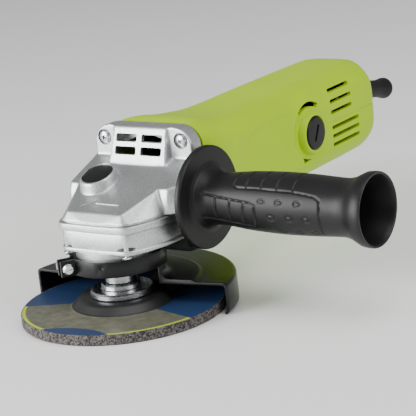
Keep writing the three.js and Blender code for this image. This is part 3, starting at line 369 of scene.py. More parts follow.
def abrasive_disc():
    """Resin-bonded grit with a printed paper label: the label lies on the flat between hub and edge."""
    material, tree, shader, place = finish("resin_bonded_abrasive_with_label")
    axes = add(tree, "SeparateXYZ", {"Vector": place})
    flat = add(tree, "CombineXYZ", {"X": axes.outputs["X"], "Y": axes.outputs["Y"], "Z": 0.0})
    reach = add(tree, "VectorMath", {0: flat.outputs[0]}, operation="LENGTH").outputs["Value"]
    toward = add(tree, "VectorMath", {0: flat.outputs[0]}, operation="NORMALIZE").outputs["Vector"]
    # Grit about a millimetre across, drawn a little coarser than the real one so that it shows.
    grit = add(tree, "TexVoronoi", {"Vector": place, "Scale": per_mm(0.85)})
    grain = add(tree, "ValToRGB", {"Fac": grit.outputs["Color"]})
    grain.color_ramp.elements[0].position = 0.25
    grain.color_ramp.elements[0].color = shade("#232021")
    grain.color_ramp.elements[1].position = 0.85
    grain.color_ramp.elements[1].color = shade("#6E6865")
    fibre = add(tree, "TexNoise", {"Vector": place, "Scale": per_mm(5), "Detail": 6, "Roughness": 0.65})
    paper = add(tree, "ValToRGB", {"Fac": fibre.outputs["Fac"]})
    paper.color_ramp.elements[0].position = 0.3
    paper.color_ramp.elements[0].color = shade("#4C4D40")
    paper.color_ramp.elements[1].position = 0.75
    paper.color_ramp.elements[1].color = shade("#6C6C5C")
    tone = paper.outputs["Color"]
    # A lime line round the label, then two navy sectors and a navy segment at the edge over it.
    ring = add(tree, "Math", {0: reach, 1: 54.9 * mm}, operation="GREATER_THAN").outputs[0]
    tone = add(tree, "MixRGB", {"Fac": ring, "Color1": tone, "Color2": shade("#A9BD2C")}).outputs[0]
    for middle, half in ((66, 51), (-54, 50)):
        way = (math.cos(math.radians(middle)), math.sin(math.radians(middle)), 0)
        aligned = add(tree, "VectorMath", {0: toward, 1: way}, operation="DOT_PRODUCT").outputs["Value"]
        within = add(tree, "Math", {0: aligned, 1: math.cos(math.radians(half))}, operation="GREATER_THAN")
        navy_in = {"Fac": within.outputs[0], "Color1": tone, "Color2": shade("#1F3558")}
        tone = add(tree, "MixRGB", navy_in).outputs[0]
    middle = [88.2 * mm * math.cos(math.radians(186)), 88.2 * mm * math.sin(math.radians(186)), 0]
    away = add(tree, "VectorMath", {0: flat.outputs[0], 1: middle}, operation="DISTANCE").outputs["Value"]
    within = add(tree, "Math", {0: away, 1: 41.6 * mm}, operation="LESS_THAN").outputs[0]
    tone = add(tree, "MixRGB", {"Fac": within, "Color1": tone, "Color2": shade("#1F3558")}).outputs[0]
    # The label covers the upper face only, from the hub's foot to just inside the edge.
    past_hub = add(tree, "Math", {0: reach, 1: 28.9 * mm}, operation="GREATER_THAN").outputs[0]
    inside_edge = add(tree, "Math", {0: reach, 1: 56.7 * mm}, operation="LESS_THAN").outputs[0]
    above = add(tree, "Math", {0: axes.outputs["Z"], 1: 5.2 * mm}, operation="GREATER_THAN").outputs[0]
    on_label = add(tree, "Math", {0: past_hub, 1: inside_edge}, operation="MULTIPLY").outputs[0]
    on_label = add(tree, "Math", {0: on_label, 1: above}, operation="MULTIPLY").outputs[0]
    on_hub = add(tree, "Math", {0: 1.0, 1: past_hub}, operation="SUBTRACT").outputs[0]
    on_hub = add(tree, "Math", {0: on_hub, 1: above}, operation="MULTIPLY").outputs[0]
    bare_and_hub = {"Fac": on_hub, "Color1": grain.outputs["Color"], "Color2": shade("#1D1D1E")}
    skin_tone = add(tree, "MixRGB", bare_and_hub)
    whole = add(tree, "MixRGB", {"Fac": on_label, "Color1": skin_tone.outputs[0], "Color2": tone})
    covered = add(tree, "Math", {0: on_label, 1: on_hub}, operation="ADD").outputs[0]
    rough = add(tree, "MapRange", {"Value": covered, "To Min": 0.9, "To Max": 0.42})
    rise = add(tree, "Math", {0: 1.0, 1: covered}, operation="SUBTRACT").outputs[0]
    height = add(tree, "Math", {0: grit.outputs["Distance"], 1: rise}, operation="MULTIPLY").outputs[0]
    bump = add(tree, "Bump", {"Height": height, "Distance": 0.5 * mm, "Strength": 0.8})
    plug(tree, shader, color=whole.outputs[0], roughness=rough.outputs[0], normal=bump.outputs[0])
    return material


cast = die_cast_aluminium()
lime = lime_nylon()
# Polypropylene moulded black: satin, finely spark-eroded.
black_plastic = satin_black("moulded_black_plastic", "#0E0E0E", "#131313", 0.34, 0.46, 0.6, 0.04)
# Black powder coat on pressed steel: smoother, with a wide soft gloss.
black_paint = satin_black("black_powder_coat", "#0D0D0E", "#121213", 0.26, 0.38, 0.9, 0.03)
# Soft moulded rubber: the dullest black.
black_rubber = satin_black("moulded_black_rubber", "#0D0D0D", "#121212", 0.5, 0.62, 0.5, 0.05)
# Graphite, pressed: dark grey with a slight sheen.
graphite = satin_black("pressed_graphite", "#232325", "#2C2C2F", 0.4, 0.55, 0.4, 0.05)
# The side handle's hard rubber: matt black with a fine moulded grain.
black_rubber_grip = satin_black("moulded_hard_rubber", "#111111", "#161616", 0.36, 0.48, 0.6, 0.05)
zinc_steel = bare_metal("zinc_plated_steel", "#B9BCBF", "#DDDFE1", 0.2, 0.3, (1, 1, 6))
turned_steel = bare_metal("turned_steel", "#A6A9AC", "#D3D5D7", 0.2, 0.32, (1, 1, 8))
dark_steel = bare_metal("blackened_steel", "#3C3D40", "#56585B", 0.34, 0.46, (1, 1, 5))
laminated_steel = bare_metal("laminated_core_steel", "#45474A", "#6D7073", 0.35, 0.5, (30, 1, 1))
copper_wire = bare_metal("enamelled_copper_wire", "#8E4A26", "#C87A48", 0.26, 0.4, (6, 1, 1))
plain_brass = bare_metal("plain_brass", "#B8913F", "#D9B766", 0.25, 0.36, (1, 5, 1))

slot_finish = {
    "cast_aluminium": cast,
    "lime_plastic": lime,
    "black_plastic": black_plastic,
    "black_steel": black_paint,
    "steel": zinc_steel,
    "dark_steel": dark_steel,
    "copper": copper_wire,
    "brass": plain_brass,
    "carbon": graphite,
    "abrasive": graphite,
    "rubber": black_rubber,
}


def dress(piece, material):
    """Gives a piece one material."""
    piece.data.materials.clear()
    piece.data.materials.append(material)
    return piece


def install(piece, material, body, slot, *nodes):
    """Gives a finished piece its material and its body, and hides the frame nodes it stands for. Its slot
    is not used.
    """
    dress(piece, material)
    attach(piece, body)
    if nodes:
        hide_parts(*nodes)
    return piece


def dress_frame():
    """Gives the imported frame's own nodes their finishes."""
    for part in frame["record"]["subparts"]:
        dress(frame["nodes"][part["node"]], slot_finish[part["material_slot"]])
    for node in ("armature_stack", "stator_stack"):
        dress(frame["nodes"][node], laminated_steel)
    for node in ("spindle", "armature_shaft", "inner_flange"):
        dress(frame["nodes"][node], turned_steel)


# ---------------------------------------------------------------- sizes, from the frame, in millimetres
def corner(node, end, axis):
    """One coordinate of a node's box: end 0 is the low corner and 1 the high one."""
    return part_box(node)[end]["xyz".index(axis)] / mm


DISC_R = corner("grinding_disc", 1, "x")
DISC_LOW = corner("grinding_disc", 0, "z")
HUB_HIGH = corner("grinding_disc", 1, "z")
DISC_THICK = 6
DISC_TOP = DISC_LOW + DISC_THICK
HUB_FOOT_R = 28.9
HUB_TOP_R = 24
MOTOR_Z = (corner("armature_stack", 0, "z") + corner("armature_stack", 1, "z")) / 2
HANDLE_X = (corner("handle_stud", 0, "x") + corner("handle_stud", 1, "x")) / 2
HANDLE_Z = (corner("handle_stud", 0, "z") + corner("handle_stud", 1, "z")) / 2
HANDLE_SEAT_Y = -corner("side_handle", 1, "y")
BAND_LOW, BAND_HIGH = corner("guard_band", 0, "z"), corner("guard_band", 1, "z")
COVER_LOW = 38.4
JOINT_Z = corner("gear_cover", 1, "z") + 0.3
FLANGE_REAR_X = corner("gear_housing", 1, "x")
FLANGE_FRONT_X = FLANGE_REAR_X - 10
BODY_FRONT_X = corner("motor_housing", 0, "x")
BODY_REAR_X = corner("motor_housing", 1, "x")
TAIL_SPLIT_X = corner("rear_cover", 0, "x") - 0.3
CAP_X = (corner("brush_cap_right", 0, "x") + corner("brush_cap_right", 1, "x")) / 2
CAP_R = (corner("brush_cap_right", 1, "x") - corner("brush_cap_right", 0, "x")) / 2
CAP_FACE_Y = -corner("brush_cap_right", 0, "y")
TOP_SLOPE = 0.355
TOP_FRONT_X = -16


def slope_z(x):
    """Height of the gear head's sloping top, which starts level with the motor axis."""
    return MOTOR_Z + TOP_SLOPE * (x - TOP_FRONT_X)


def arc(centre, radius, start, end, steps):
    """Points on an arc, from one angle to another in degrees."""
    turns = [math.radians(start + (end - start) * i / steps) for i in range(steps + 1)]
    return [(centre[0] + radius * math.cos(a), centre[1] + radius * math.sin(a)) for a in turns]


def softstep(low, high, value):
    """0 below low, 1 above high, and an even bend between them."""
    t = min(1, max(0, (value - low) / (high - low)))
    return t * t * (3 - 2 * t)


def between(stations, x):
    """Reads smooth stations of (x, value...) at x, with bends that pass through every station."""
    if x <= stations[0][0]:
        return stations[0][1:]
    if x >= stations[-1][0]:
        return stations[-1][1:]
    i = next(i for i in range(len(stations) - 1) if stations[i][0] <= x <= stations[i + 1][0])
    before = stations[max(i - 1, 0)]
    left, right = stations[i], stations[i + 1]
    after = stations[min(i + 2, len(stations) - 1)]
    span = right[0] - left[0]
    t = (x - left[0]) / span
    values = []
    for k in range(1, len(left)):
        lean_in = (right[k] - before[k]) / (right[0] - before[0]) * span
        lean_out = (after[k] - left[k]) / (after[0] - left[0]) * span
        values.append(left[k] * (2 * t**3 - 3 * t**2 + 1) + lean_in * (t**3 - 2 * t**2 + t)
                      + right[k] * (3 * t**2 - 2 * t**3) + lean_out * (t**3 - t**2))
    return values


# ---------------------------------------------------------------- disc, guard and spindle
def grinding_disc():
    """The depressed-centre disc, turned."""
    profile = [(11.1, DISC_LOW + 5), (21, DISC_LOW + 5), (25.9, DISC_LOW), (DISC_R - 0.6, DISC_LOW),
               (DISC_R, DISC_LOW + 0.6), (DISC_R, DISC_TOP - 0.5), (DISC_R - 0.5, DISC_TOP)]
    profile += [(HUB_FOOT_R + 1.4, DISC_TOP), (HUB_FOOT_R, DISC_TOP + 0.3)]
    profile += [(HUB_FOOT_R - 1, DISC_TOP + 1.2)]
    profile += [(HUB_TOP_R + 1.4, HUB_HIGH - 1.3), (HUB_TOP_R + 0.5, HUB_HIGH - 0.4)]
    profile += [(HUB_TOP_R - 0.7, HUB_HIGH), (11.1, HUB_HIGH)]
    disc = lathe("disc", profile, 180)
    smooth(disc, 30)
    install(disc, abrasive_disc(), "spindle", "abrasive", "grinding_disc")


def guard_pressing():
    """The pressed guard: a flat plate with a rolled wall round part of the disc."""
    low, plate_z, sheet = corner("guard", 0, "z"), 16, 1.5
    out, inside = corner("guard", 0, "y"), 23.5
    out = -out
    top = plate_z + sheet
    profile = [(inside, plate_z), (out - 3.4, plate_z), (out - 2.1, plate_z - 0.5)]
    profile += [(out - sheet, plate_z - 1.8), (out - sheet, low + 2.4), (out - 2.9, low + 1.1)]
    profile += [(out - 2.6, low + 0.3), (out - 1.9, low)]
    profile += [(out - 0.5, low + 1.2), (out, low + 2.2)]
    profile += arc((out - 2.6, top - 2.6), 2.6, 0, 90, 5)
    profile += [(46, top), (45, top + 0.25), (44, top + 1), (43, top + 1.2), (32, top + 1.2)]
    profile += arc((inside + sheet + 5, top + 6.2), 5, 270, 180, 5)
    profile += [(inside + sheet, BAND_LOW + 1), (inside, BAND_LOW + 1)]
    half = 83
    pressing = lathe("disc_guard", profile, 96, turn=2 * half, start=half, filled=True)
    collar = lathe("collar", [(inside, BAND_LOW + 0.2), (inside + sheet, BAND_LOW + 0.2),
                              (inside + sheet, BAND_HIGH - 0.4), (inside, BAND_HIGH - 0.4)], 120)
    gather(pressing, collar)
    pressing.data.transform(Matrix.Rotation(math.radians(3), 4, "Z"))
    round_edges(pressing, 0.25 * mm, 2, 50)
    smooth(pressing, 30)
    install(pressing, black_paint, "guard", "black_steel", "guard")


def clamp_band():
    """The band that clamps the guard to the spigot."""
    band = refined("clamp_band", "guard_band", 0.35 * mm, 2, 30)
    install(band, black_paint, "guard", "black_steel", "guard_band")


def turned_parts():
    """The disc flange and nut, and the spindle."""
    flange_low = HUB_HIGH + 0.3
    flange = lathe("disc_flange", [
        (7.3, flange_low), (17.3, flange_low), (17.8, flange_low + 0.4), (17.8, flange_low + 2.5),
        (17, flange_low + 3.4), (11.8, flange_low + 3.5), (11.3, flange_low + 3.9),
        (11.3, flange_low + 6.1), (10.8, flange_low + 6.6), (7.3, flange_low + 6.6)], 128)
    smooth(flange, 30)
    install(flange, turned_steel, "spindle", "steel", "inner_flange")
    nut = refined("disc_nut", "clamp_nut", 0.3 * mm)
    install(nut, dark_steel, "spindle", "dark_steel", "clamp_nut")
    threaded_spindle()


def threaded_spindle():
    """The spindle with its thread below the shoulder: grooves a pitch apart, as a stack of ridges."""
    top = corner("spindle", 1, "z")
    pitch, crest, root = 2, 7, 6.2
    profile = [(0, 0), (root - 0.4, 0)]
    height = 0.6
    while height + pitch < 17:
        profile += [(root, height), (crest, height + 0.45 * pitch), (crest, height + 0.55 * pitch)]
        height += pitch
    profile += [(root, height), (root, 17.5), (8.3, 17.7), (8.7, 18.1), (8.7, 28.8), (8.3, 29.2)]
    profile += [(7.4, 29.2)]
    profile += [(7.4, 39.5), (6, 39.5), (6, 55.4), (4, 55.4), (4, top), (0, top)]
    spindle = lathe("spindle_turned", profile, 96)
    smooth(spindle, 30)
    install(spindle, turned_steel, "spindle", "steel", "spindle")


# ---------------------------------------------------------------- screws
def pan_screw(name, radius, high, shank, long):
    """A cross-recess pan-head screw standing on its seat at the origin, its head up and its shank down."""
    dome = arc((0, 0), 1, 90, 12, 7)
    profile = [(radius * x, high * (0.35 + 0.65 * y)) for x, y in dome]
    profile += [(radius, 0.2 * high), (radius * 0.97, 0), (shank, 0)]
    profile += [(shank, -long + 1), (shank * 0.4, -long), (0, -long)]
    screw = lathe(name, profile, 40)
    recess = [primitive("wing", "cube", size=1) for wing in range(2)]
    for wing, sides in zip(recess, ((1.15, 0.32), (0.32, 1.15))):
        wing.data.transform(Matrix.Translation((0, 0, high * mm)) @ Matrix.Diagonal(
            (radius * sides[0] * mm, radius * sides[1] * mm, 1.5 * high * mm, 1)))
        select(wing, "FACE", lambda middle, normal: normal.z < -0.9)
        bpy.ops.transform.resize(value=(0.35, 0.35, 1), center_override=(0, 0, 0))
        done()
    cut(screw, *recess)
    smooth(screw, 30)
    return screw


def screws():
    """The visible screws, each copied from one pattern."""
    head_x = FLANGE_FRONT_X + 2.2 - 0.3
    pattern = pan_screw("pattern_screw", 4, 2.9, 1.9, 15)
    for index in range(1, 5):
        node = f"housing_screw_{index}"
        screw = copied(pattern, f"flange_screw_{index}")
        y = (corner(node, 0, "y") + corner(node, 1, "y")) / 2
        z = (corner(node, 0, "z") + corner(node, 1, "z")) / 2
        spun = Matrix.Rotation(math.radians(20 + 50 * index), 4, "Z")
        lie = Matrix.Translation((head_x * mm, y * mm, z * mm)) @ Matrix.Rotation(-math.pi / 2, 4, "Y")
        screw.data.transform(lie @ spun)
        install(screw, zinc_steel, "casing", "steel", node)
    bpy.data.objects.remove(pattern)
    pattern = pan_screw("pattern_screw", 2.8, 1.9, 1.5, 15)
    for index in range(1, 5):
        node = f"cover_screw_{index}"
        screw = copied(pattern, f"gear_cover_screw_{index}")
        x = (corner(node, 0, "x") + corner(node, 1, "x")) / 2
        y = (corner(node, 0, "y") + corner(node, 1, "y")) / 2
        place = Matrix.Translation((x * mm, y * mm, (COVER_LOW - 0.3) * mm))
        place = place @ Matrix.Rotation(math.pi, 4, "X")
        screw.data.transform(place)
        install(screw, zinc_steel, "casing", "steel", node)
    bpy.data.objects.remove(pattern)


# ---------------------------------------------------------------- gear head
def head_plan(inset, rear, steps=8):
    """Plan of the gear head: a nearly flat nose, rounded corners and flanks that spread rearwards."""
    nose, half, flat, side = -20.6 + inset, 33.3 - inset, 17 - inset, 25.4 - inset

    def bend(a, b, c):
        ways = [i / steps for i in range(1, steps + 1)]
        return [
            tuple((1 - t) ** 2 * a[k] + 2 * t * (1 - t) * b[k] + t * t * c[k] for k in (0, 1))
            for t in ways]

    right = [(nose, -flat)] + bend((nose, -flat), (nose, 1.8 - side), (nose + 4.6, -side))
    right += bend((nose + 4.6, -side), (-2, -half), (13, -half)) + [(rear, -half)]
    left = [(x, -y) for x, y in reversed(right)]
    return right + left + bend(left[-1], (nose - 1.2, 0), right[0])[:-1]


def hull(name, points):
    """The convex solid round some points: a plane's corners are given those places and wrapped."""
    piece = primitive(name, "circle", vertices=len(points), radius=1, fill_type="NOTHING")
    for vertex, place in zip(piece.data.vertices, points):
        vertex.co = Vector(place) * mm
    select_all(piece)
    bpy.ops.mesh.convex_hull()
    done()
    return piece


def lock_outline(inset, steps=40):
    """The D-shaped outline of the lock button's boss, straight on its outer side."""
    radius, flat = 10.2 - inset, 9.2 - inset
    angle = math.degrees(math.asin(flat / radius))
    return arc((7.9, 13.8), radius, 180 - angle, 360 + angle, steps)


def slope_cut(piece, rise):
    """Takes away what lies above a plane parallel to the head's sloping top."""
    select_all(piece)
    lean = Vector((-TOP_SLOPE, 0, 1)).normalized()
    bpy.ops.mesh.bisect(plane_co=(TOP_FRONT_X * mm, 0, (MOTOR_Z + rise) * mm), plane_no=lean,
                        clear_outer=True, use_fill=True)
    done()


def arrow_rib(start, end):
    """One cast line of the turning-direction arrow, standing a little above the sloping top."""
    along = (end - start).normalized()
    across = Vector((-along.y, along.x)) * 0.45
    feet = [foot + side * across for foot in (start, end) for side in (1, -1)]
    return hull("arrow_rib", [
        (foot.x, foot.y, slope_z(foot.x) + rise) for foot in feet for rise in (-0.8, 0.4)])


def head_castings():
    """The gear head: its crown, air windows, bosses, flange and lip."""
    lip_low, lip_high = JOINT_Z, JOINT_Z + 4
    crown_low = lip_high + 0.5
    plan = [(x, y, crown_low) for x, y in head_plan(0.9, 39)]
    top = [(TOP_FRONT_X, 18.6), (6, 26.8), (26, 30.6), (39, 30.6)]
    plan += [(x, side * y, slope_z(x)) for x, y in top for side in (1, -1)]
    crown = hull("head_crown", plan)
    foot = 25.8
    panel = hull("panel", [
        (x, side * y, z)
        for side in (1, -1)
        for x, y, z in ((foot - 0.8, 19.8, slope_z(foot) - 3), (36, 19.8, slope_z(foot) - 3),
                        (33.2, 18.2, MOTOR_Z + 35.2), (36, 18.2, MOTOR_Z + 35.2))])
    half_wide, half_high, corner_r = 33.3, 35.8, 11
    outline = []
    for quarter, (sy, sz) in enumerate(((1, 1), (-1, 1), (-1, -1), (1, -1))):
        middle = (sy * (half_wide - corner_r), sz * (half_high - corner_r))
        outline += arc(middle, corner_r, 90 * quarter, 90 * quarter + 90, 10)
    flange = plate("flange", outline, FLANGE_FRONT_X, FLANGE_REAR_X)
    stood_up = Matrix(((0, 0, 1, 0), (1, 0, 0, 0), (0, 1, 0, 0), (0, 0, 0, 1)))
    flange.data.transform(Matrix.Translation((0, 0, MOTOR_Z * mm)) @ stood_up)
    neck = box("neck", (28.5, -24, MOTOR_Z - 27), (36, 24, lip_high + 1))
    boss = plate("boss", lock_outline(0), MOTOR_Z + 1, 95)
    slope_cut(boss, 6.6)
    bosses = []
    for axis, seat in (("-Y", HANDLE_SEAT_Y - 0.3), ("Y", 34.6)):
        edge = 25.3 - 0.55 * (seat - 33)
        boss_turned = lathe("handle_boss", [
            (0, 14), (25.3, 14), (25.3, 33), (edge, seat), (0, seat)], 96, axis)
        move(boss_turned, HANDLE_X, 0, HANDLE_Z)
        slope_cut(boss_turned, 0.2)
        for place, normal in (((0, 0, crown_low), (0, 0, -1)), ((FLANGE_REAR_X, 0, 0), (1, 0, 0))):
            select_all(boss_turned)
            bpy.ops.mesh.bisect(
                plane_co=Vector(place) * mm, plane_no=normal, clear_outer=True, use_fill=True)
            done()
        bosses.append(boss_turned)
    gather(crown, panel, flange, neck, boss, *bosses)
    modify(crown, "REMESH", mode="VOXEL", voxel_size=0.62 * mm, adaptivity=0)
    modify(crown, "SMOOTH", factor=0.6, iterations=9)
    core = plate("core", head_plan(2.2, 36), lip_high - 1, crown_low + 1.5)
    weld(crown, core)
    hollow = []
    hollow.append(plate("lock_pocket", lock_outline(1.2), 66, 95))
    for node in (1, 2, 3, 4):
        y = (corner(f"housing_screw_{node}", 0, "y") + corner(f"housing_screw_{node}", 1, "y")) / 2
        z = (corner(f"housing_screw_{node}", 0, "z") + corner(f"housing_screw_{node}", 1, "z")) / 2
        hollow.append(rod("screw_seat", 4.7, (24, y, z), (FLANGE_FRONT_X + 2.2, y, z)))
    for low, high in ((81.4, 85.9), (88.3, 92.7)):
        for side in (1, -1):
            near, far = sorted((1.6 * side, 16 * side))
            window = box("window", (18, near, low), (40, far, high))
            round_edges(window, 1.0 * mm, 3)
            hollow.append(window)
    fan_ends = [(x, 0, MOTOR_Z) for x in (FLANGE_FRONT_X + 4, FLANGE_REAR_X + 1)]
    hollow.append(rod("fan_room", 29, *fan_ends, 96))
    hollow.append(hull("panel_room", [
        (x, side * y, z)
        for side in (1, -1)
        for x, y, z in ((foot + 2.2, 17.2, slope_z(foot) + 0.6), (40, 17.2, slope_z(foot) + 0.6),
                        (35.4, 16.4, MOTOR_Z + 32.6), (40, 16.4, MOTOR_Z + 32.6))]))
    hollow.append(rod("gear_room", 18, (0, 0, lip_low - 1), (0, 0, 58), 64))
    for tool in hollow:
        cut(crown, tool)
    for start, end in (((-11.2, 12.8), (-5.3, 5.4)), ((-8, 4.2), (-8.2, -11.2))):
        weld(crown, arrow_rib(Vector(start), Vector(end)))
    lip = plate("lip", head_plan(0, FLANGE_REAR_X - 0.5), lip_low, lip_high)
    round_edges(lip, 0.5 * mm, 3)
    cut(lip, rod("gear_room", 18, (0, 0, lip_low - 1), (0, 0, lip_high + 1), 64))
    gather(crown, lip)
    smooth(crown, 40)
    install(crown, cast, "casing", "cast_aluminium", "gear_housing")


def gear_cover():
    """The lower cover of the gear head."""
    top = JOINT_Z - 0.3
    rear = 28
    wall = plate("cover_wall", head_plan(1.1, rear), COVER_LOW + 2.6, top)
    for side in (1, -1):
        notch = primitive("notch", "uv_sphere", segments=48, ring_count=24, radius=1)
        place = Matrix.Translation((-21.6 * mm, side * 25 * mm, (COVER_LOW + 3.2) * mm))
        notch.data.transform(place @ Matrix.Diagonal((8 * mm, 10 * mm, 2.2 * mm, 1)))
        cut(wall, notch)
    foot = plate("cover_foot", head_plan(0.5, rear), COVER_LOW, COVER_LOW + 3)
    round_edges(wall, 0.25 * mm, 2)
    round_edges(foot, 0.9 * mm, 3)
    spigot = lathe("spigot", [(9.5, BAND_LOW + 0.2), (22.6, BAND_LOW + 0.2), (23.1, BAND_LOW + 0.7),
                              (23.1, COVER_LOW + 1), (9.5, COVER_LOW + 1)], 128)
    gather(wall, foot, spigot)
    smooth(wall, 35)
    install(wall, cast, "casing", "cast_aluminium", "gear_cover")


def lock_button():
    """The spindle lock button in its boss."""
    button = plate("spindle_lock_button", lock_outline(1.6), corner("lock_button", 0, "z"), 95)
    slope_cut(button, 6.1)
    round_edges(button, 0.6 * mm, 3, 30)
    smooth(button, 35)
    install(button, black_plastic, "lock_button", "black_plastic", "lock_button")


# ---------------------------------------------------------------- plastic body
def skin(name, columns, rows, place):
    """A sheet wrapped round and joined up: place(u, v) gives each vertex, u round it and v along it."""
    piece = primitive(name, "grid", x_subdivisions=columns, y_subdivisions=rows, size=1)
    for index, vertex in enumerate(piece.data.vertices):
        vertex.co = Vector(place(index % (columns + 1) / columns, index // (columns + 1) / rows)) * mm
    select_all(piece)
    bpy.ops.mesh.remove_doubles(threshold=1e-7)
    bpy.ops.mesh.normals_make_consistent(inside=False)
    done()
    return piece


# Length stations of the body: place, half width, half height, radius across the corners, and the
# rise of its middle.
body_stations = [
    (BODY_FRONT_X, 33.4, 35.6, 43.5, 0),
    (52, 33.6, 35.9, 43, 0),
    (60, 33.4, 35.3, 41.5, 0),
    (68, 32.8, 33.6, 39.6, 0),
    (80, 31.2, 31.5, 37.6, 0),
    (104, 29.1, 29.1, 34.6, 0),
    (160, 28.9, 28.9, 34.3, 0),
    (BODY_REAR_X - 16, 28.7, 28.7, 33.4, 0),
    (BODY_REAR_X - 8, 28, 28, 31.6, 0.1),
    (BODY_REAR_X - 3.6, 25.8, 25.8, 28.4, 0.5),
    (BODY_REAR_X - 1, 22, 22, 23.6, 1.2),
    (BODY_REAR_X, 17, 17, 17.6, 2),
]
TAIL_EXIT_Z = MOTOR_Z + 4.5


def body_point(x, turn):
    """A point on the body's outside: a soft square, whose corners are rounded by a circle."""
    wide, high, radius, rise = between(body_stations, x)
    c, s = math.cos(turn), math.sin(turn)
    sharp = 26
    reach = (radius**-sharp + (abs(c) / wide)**sharp + (abs(s) / high)**sharp) ** (-1 / sharp)
    y, z = reach * c, reach * s
    reach -= side_relief(x, y, z)
    return x, reach * c, MOTOR_Z + rise + reach * s


def side_relief(x, y, z):
    """How far the side is let in: a shallow panel, and a hollow on the front side of the brush cap."""
    if abs(y) < 14:
        return 0
    top = 14.2 + 5 * (x - 86) / 52
    panel = softstep(83.2, 85, x) * (1 - softstep(top - 1, top + 0.8, z)) * (1 - softstep(128, 160, x))
    panel *= softstep(-26, -22, z)
    away = math.hypot(x - CAP_X, z)
    ring = softstep(12.4, 13.4, away) * (1 - softstep(16.5, 18.5, away)) * softstep(2, -6, x - CAP_X + 4)
    joint = softstep(TAIL_SPLIT_X, TAIL_SPLIT_X + 1, x) * (1 - softstep(0.3, 1.3, abs(z)))
    return 0.9 * panel + 1.1 * ring + 0.6 * joint


def body_skin(name):
    """The motor housing's outer surface, wound through the stations."""
    rows = 176
    split_row = round(rows * (TAIL_SPLIT_X - BODY_FRONT_X) / (BODY_REAR_X - BODY_FRONT_X))

    def place(u, v):
        row = round(v * rows)
        if row <= split_row:
            x = BODY_FRONT_X + (TAIL_SPLIT_X - BODY_FRONT_X) * row / split_row
        else:
            share = (row - split_row) / (rows - split_row)
            x = TAIL_SPLIT_X + (BODY_REAR_X - TAIL_SPLIT_X) * (1 - (1 - share) ** 1.35)
        turn = 2 * math.pi * u
        return body_point(x, turn)

    return skin(name, 176, rows, place)


def tail_cap(piece):
    """Closes the rear end down to the hole that the cord's sleeve comes out of."""
    rear_plane = (BODY_REAR_X - 0.01) * mm
    select(piece, "EDGE", lambda middle, along: middle.x > rear_plane and abs(along.x) < 1e-6)
    centre = (BODY_REAR_X * mm, 0, (MOTOR_Z + 3) * mm)
    for size, rise, along in ((0.8, 0.4, 0.7), (0.72, 0.8, 0.35), (0.78, 0.3, 0.1)):
        bpy.ops.mesh.extrude_edges_move(TRANSFORM_OT_translate={"value": (along * mm, 0, rise * mm)})
        bpy.ops.transform.resize(value=(1, size, size), center_override=centre)
    done()


def vent_tools(first, step, long):
    """Three slots with round ends, through both sides."""
    tools = []
    for row in range(3):
        z = MOTOR_Z + first + row * step
        for side in (1, -1):
            x0 = TAIL_SPLIT_X + 3
            near, far = sorted((side * 14, side * 40))
            slot = box("vent", (x0, near, z - 1.2), (x0 + long, far, z + 1.2))
            select(slot, "EDGE", lambda middle, along: abs(along.y) > 5 * mm)
            bpy.ops.mesh.bevel(offset=1.15 * mm, segments=4, affect="EDGES")
            done()
            tools.append(slot)
    return tools


def crescent(side):
    """The curved air opening over the front of the brush cap."""
    outer = arc((CAP_X - 0.4, MOTOR_Z), 19, 56, 128, 16)
    inner = arc((CAP_X - 0.4, MOTOR_Z - 1.4), 17.3, 126, 60, 16)
    tool = plate("crescent", [(x, z) for x, z in outer + inner], 18, 40)
    stand = Matrix(((1, 0, 0, 0), (0, 0, side, 0), (0, 1, 0, 0), (0, 0, 0, 1)))
    tool.data.transform(stand)
    select_all(tool)
    bpy.ops.mesh.normals_make_consistent(inside=False)
    done()
    return tool


def corner_opening(side):
    """The three-cornered opening below the brush cap."""
    corners = [(CAP_X - 10.2, MOTOR_Z - 17), (CAP_X - 1.4, MOTOR_Z - 15.9), (CAP_X - 6, MOTOR_Z - 15.2),
               (CAP_X - 10.6, MOTOR_Z - 13.2)]
    tool = plate("corner_opening", corners, 18, 40)
    tool.data.transform(Matrix(((1, 0, 0, 0), (0, 0, side, 0), (0, 1, 0, 0), (0, 0, 0, 1))))
    select_all(tool)
    bpy.ops.mesh.normals_make_consistent(inside=False)
    done()
    return tool


def rear_lower(middle):
    """Whether a place on the skin belongs to the lower tail cover."""
    rise = max(0, between(body_stations, middle.x / mm)[3])
    return middle.x > TAIL_SPLIT_X * mm and middle.z < (MOTOR_Z + rise) * mm


def shell_of(name, keep_lower):
    """The upper or the lower half of the body skin, with its wall."""
    shell = body_skin(name)
    tail_cap(shell)
    select(shell, "FACE", lambda middle, normal: rear_lower(middle) != keep_lower)
    bpy.ops.mesh.delete(type="FACE")
    done()
    modify(shell, "SOLIDIFY", thickness=2.6 * mm, offset=-1, use_rim=True, use_even_offset=False)
    return shell


def cap_ring(side):
    """The raised ring round a brush cap."""
    profile = [(CAP_R + 0.3, 24), (CAP_R + 0.3, CAP_FACE_Y - 1.4), (CAP_R + 0.7, CAP_FACE_Y - 0.8)]
    profile += [(CAP_R + 1.9, CAP_FACE_Y - 0.9), (CAP_R + 2.5, CAP_FACE_Y - 1.5)]
    profile += [(CAP_R + 3.4, 28.3), (CAP_R + 3.4, 24)]
    ring = lathe("cap_ring", profile, 96, "-Y" if side < 0 else "Y")
    return move(ring, CAP_X, 0, MOTOR_Z)


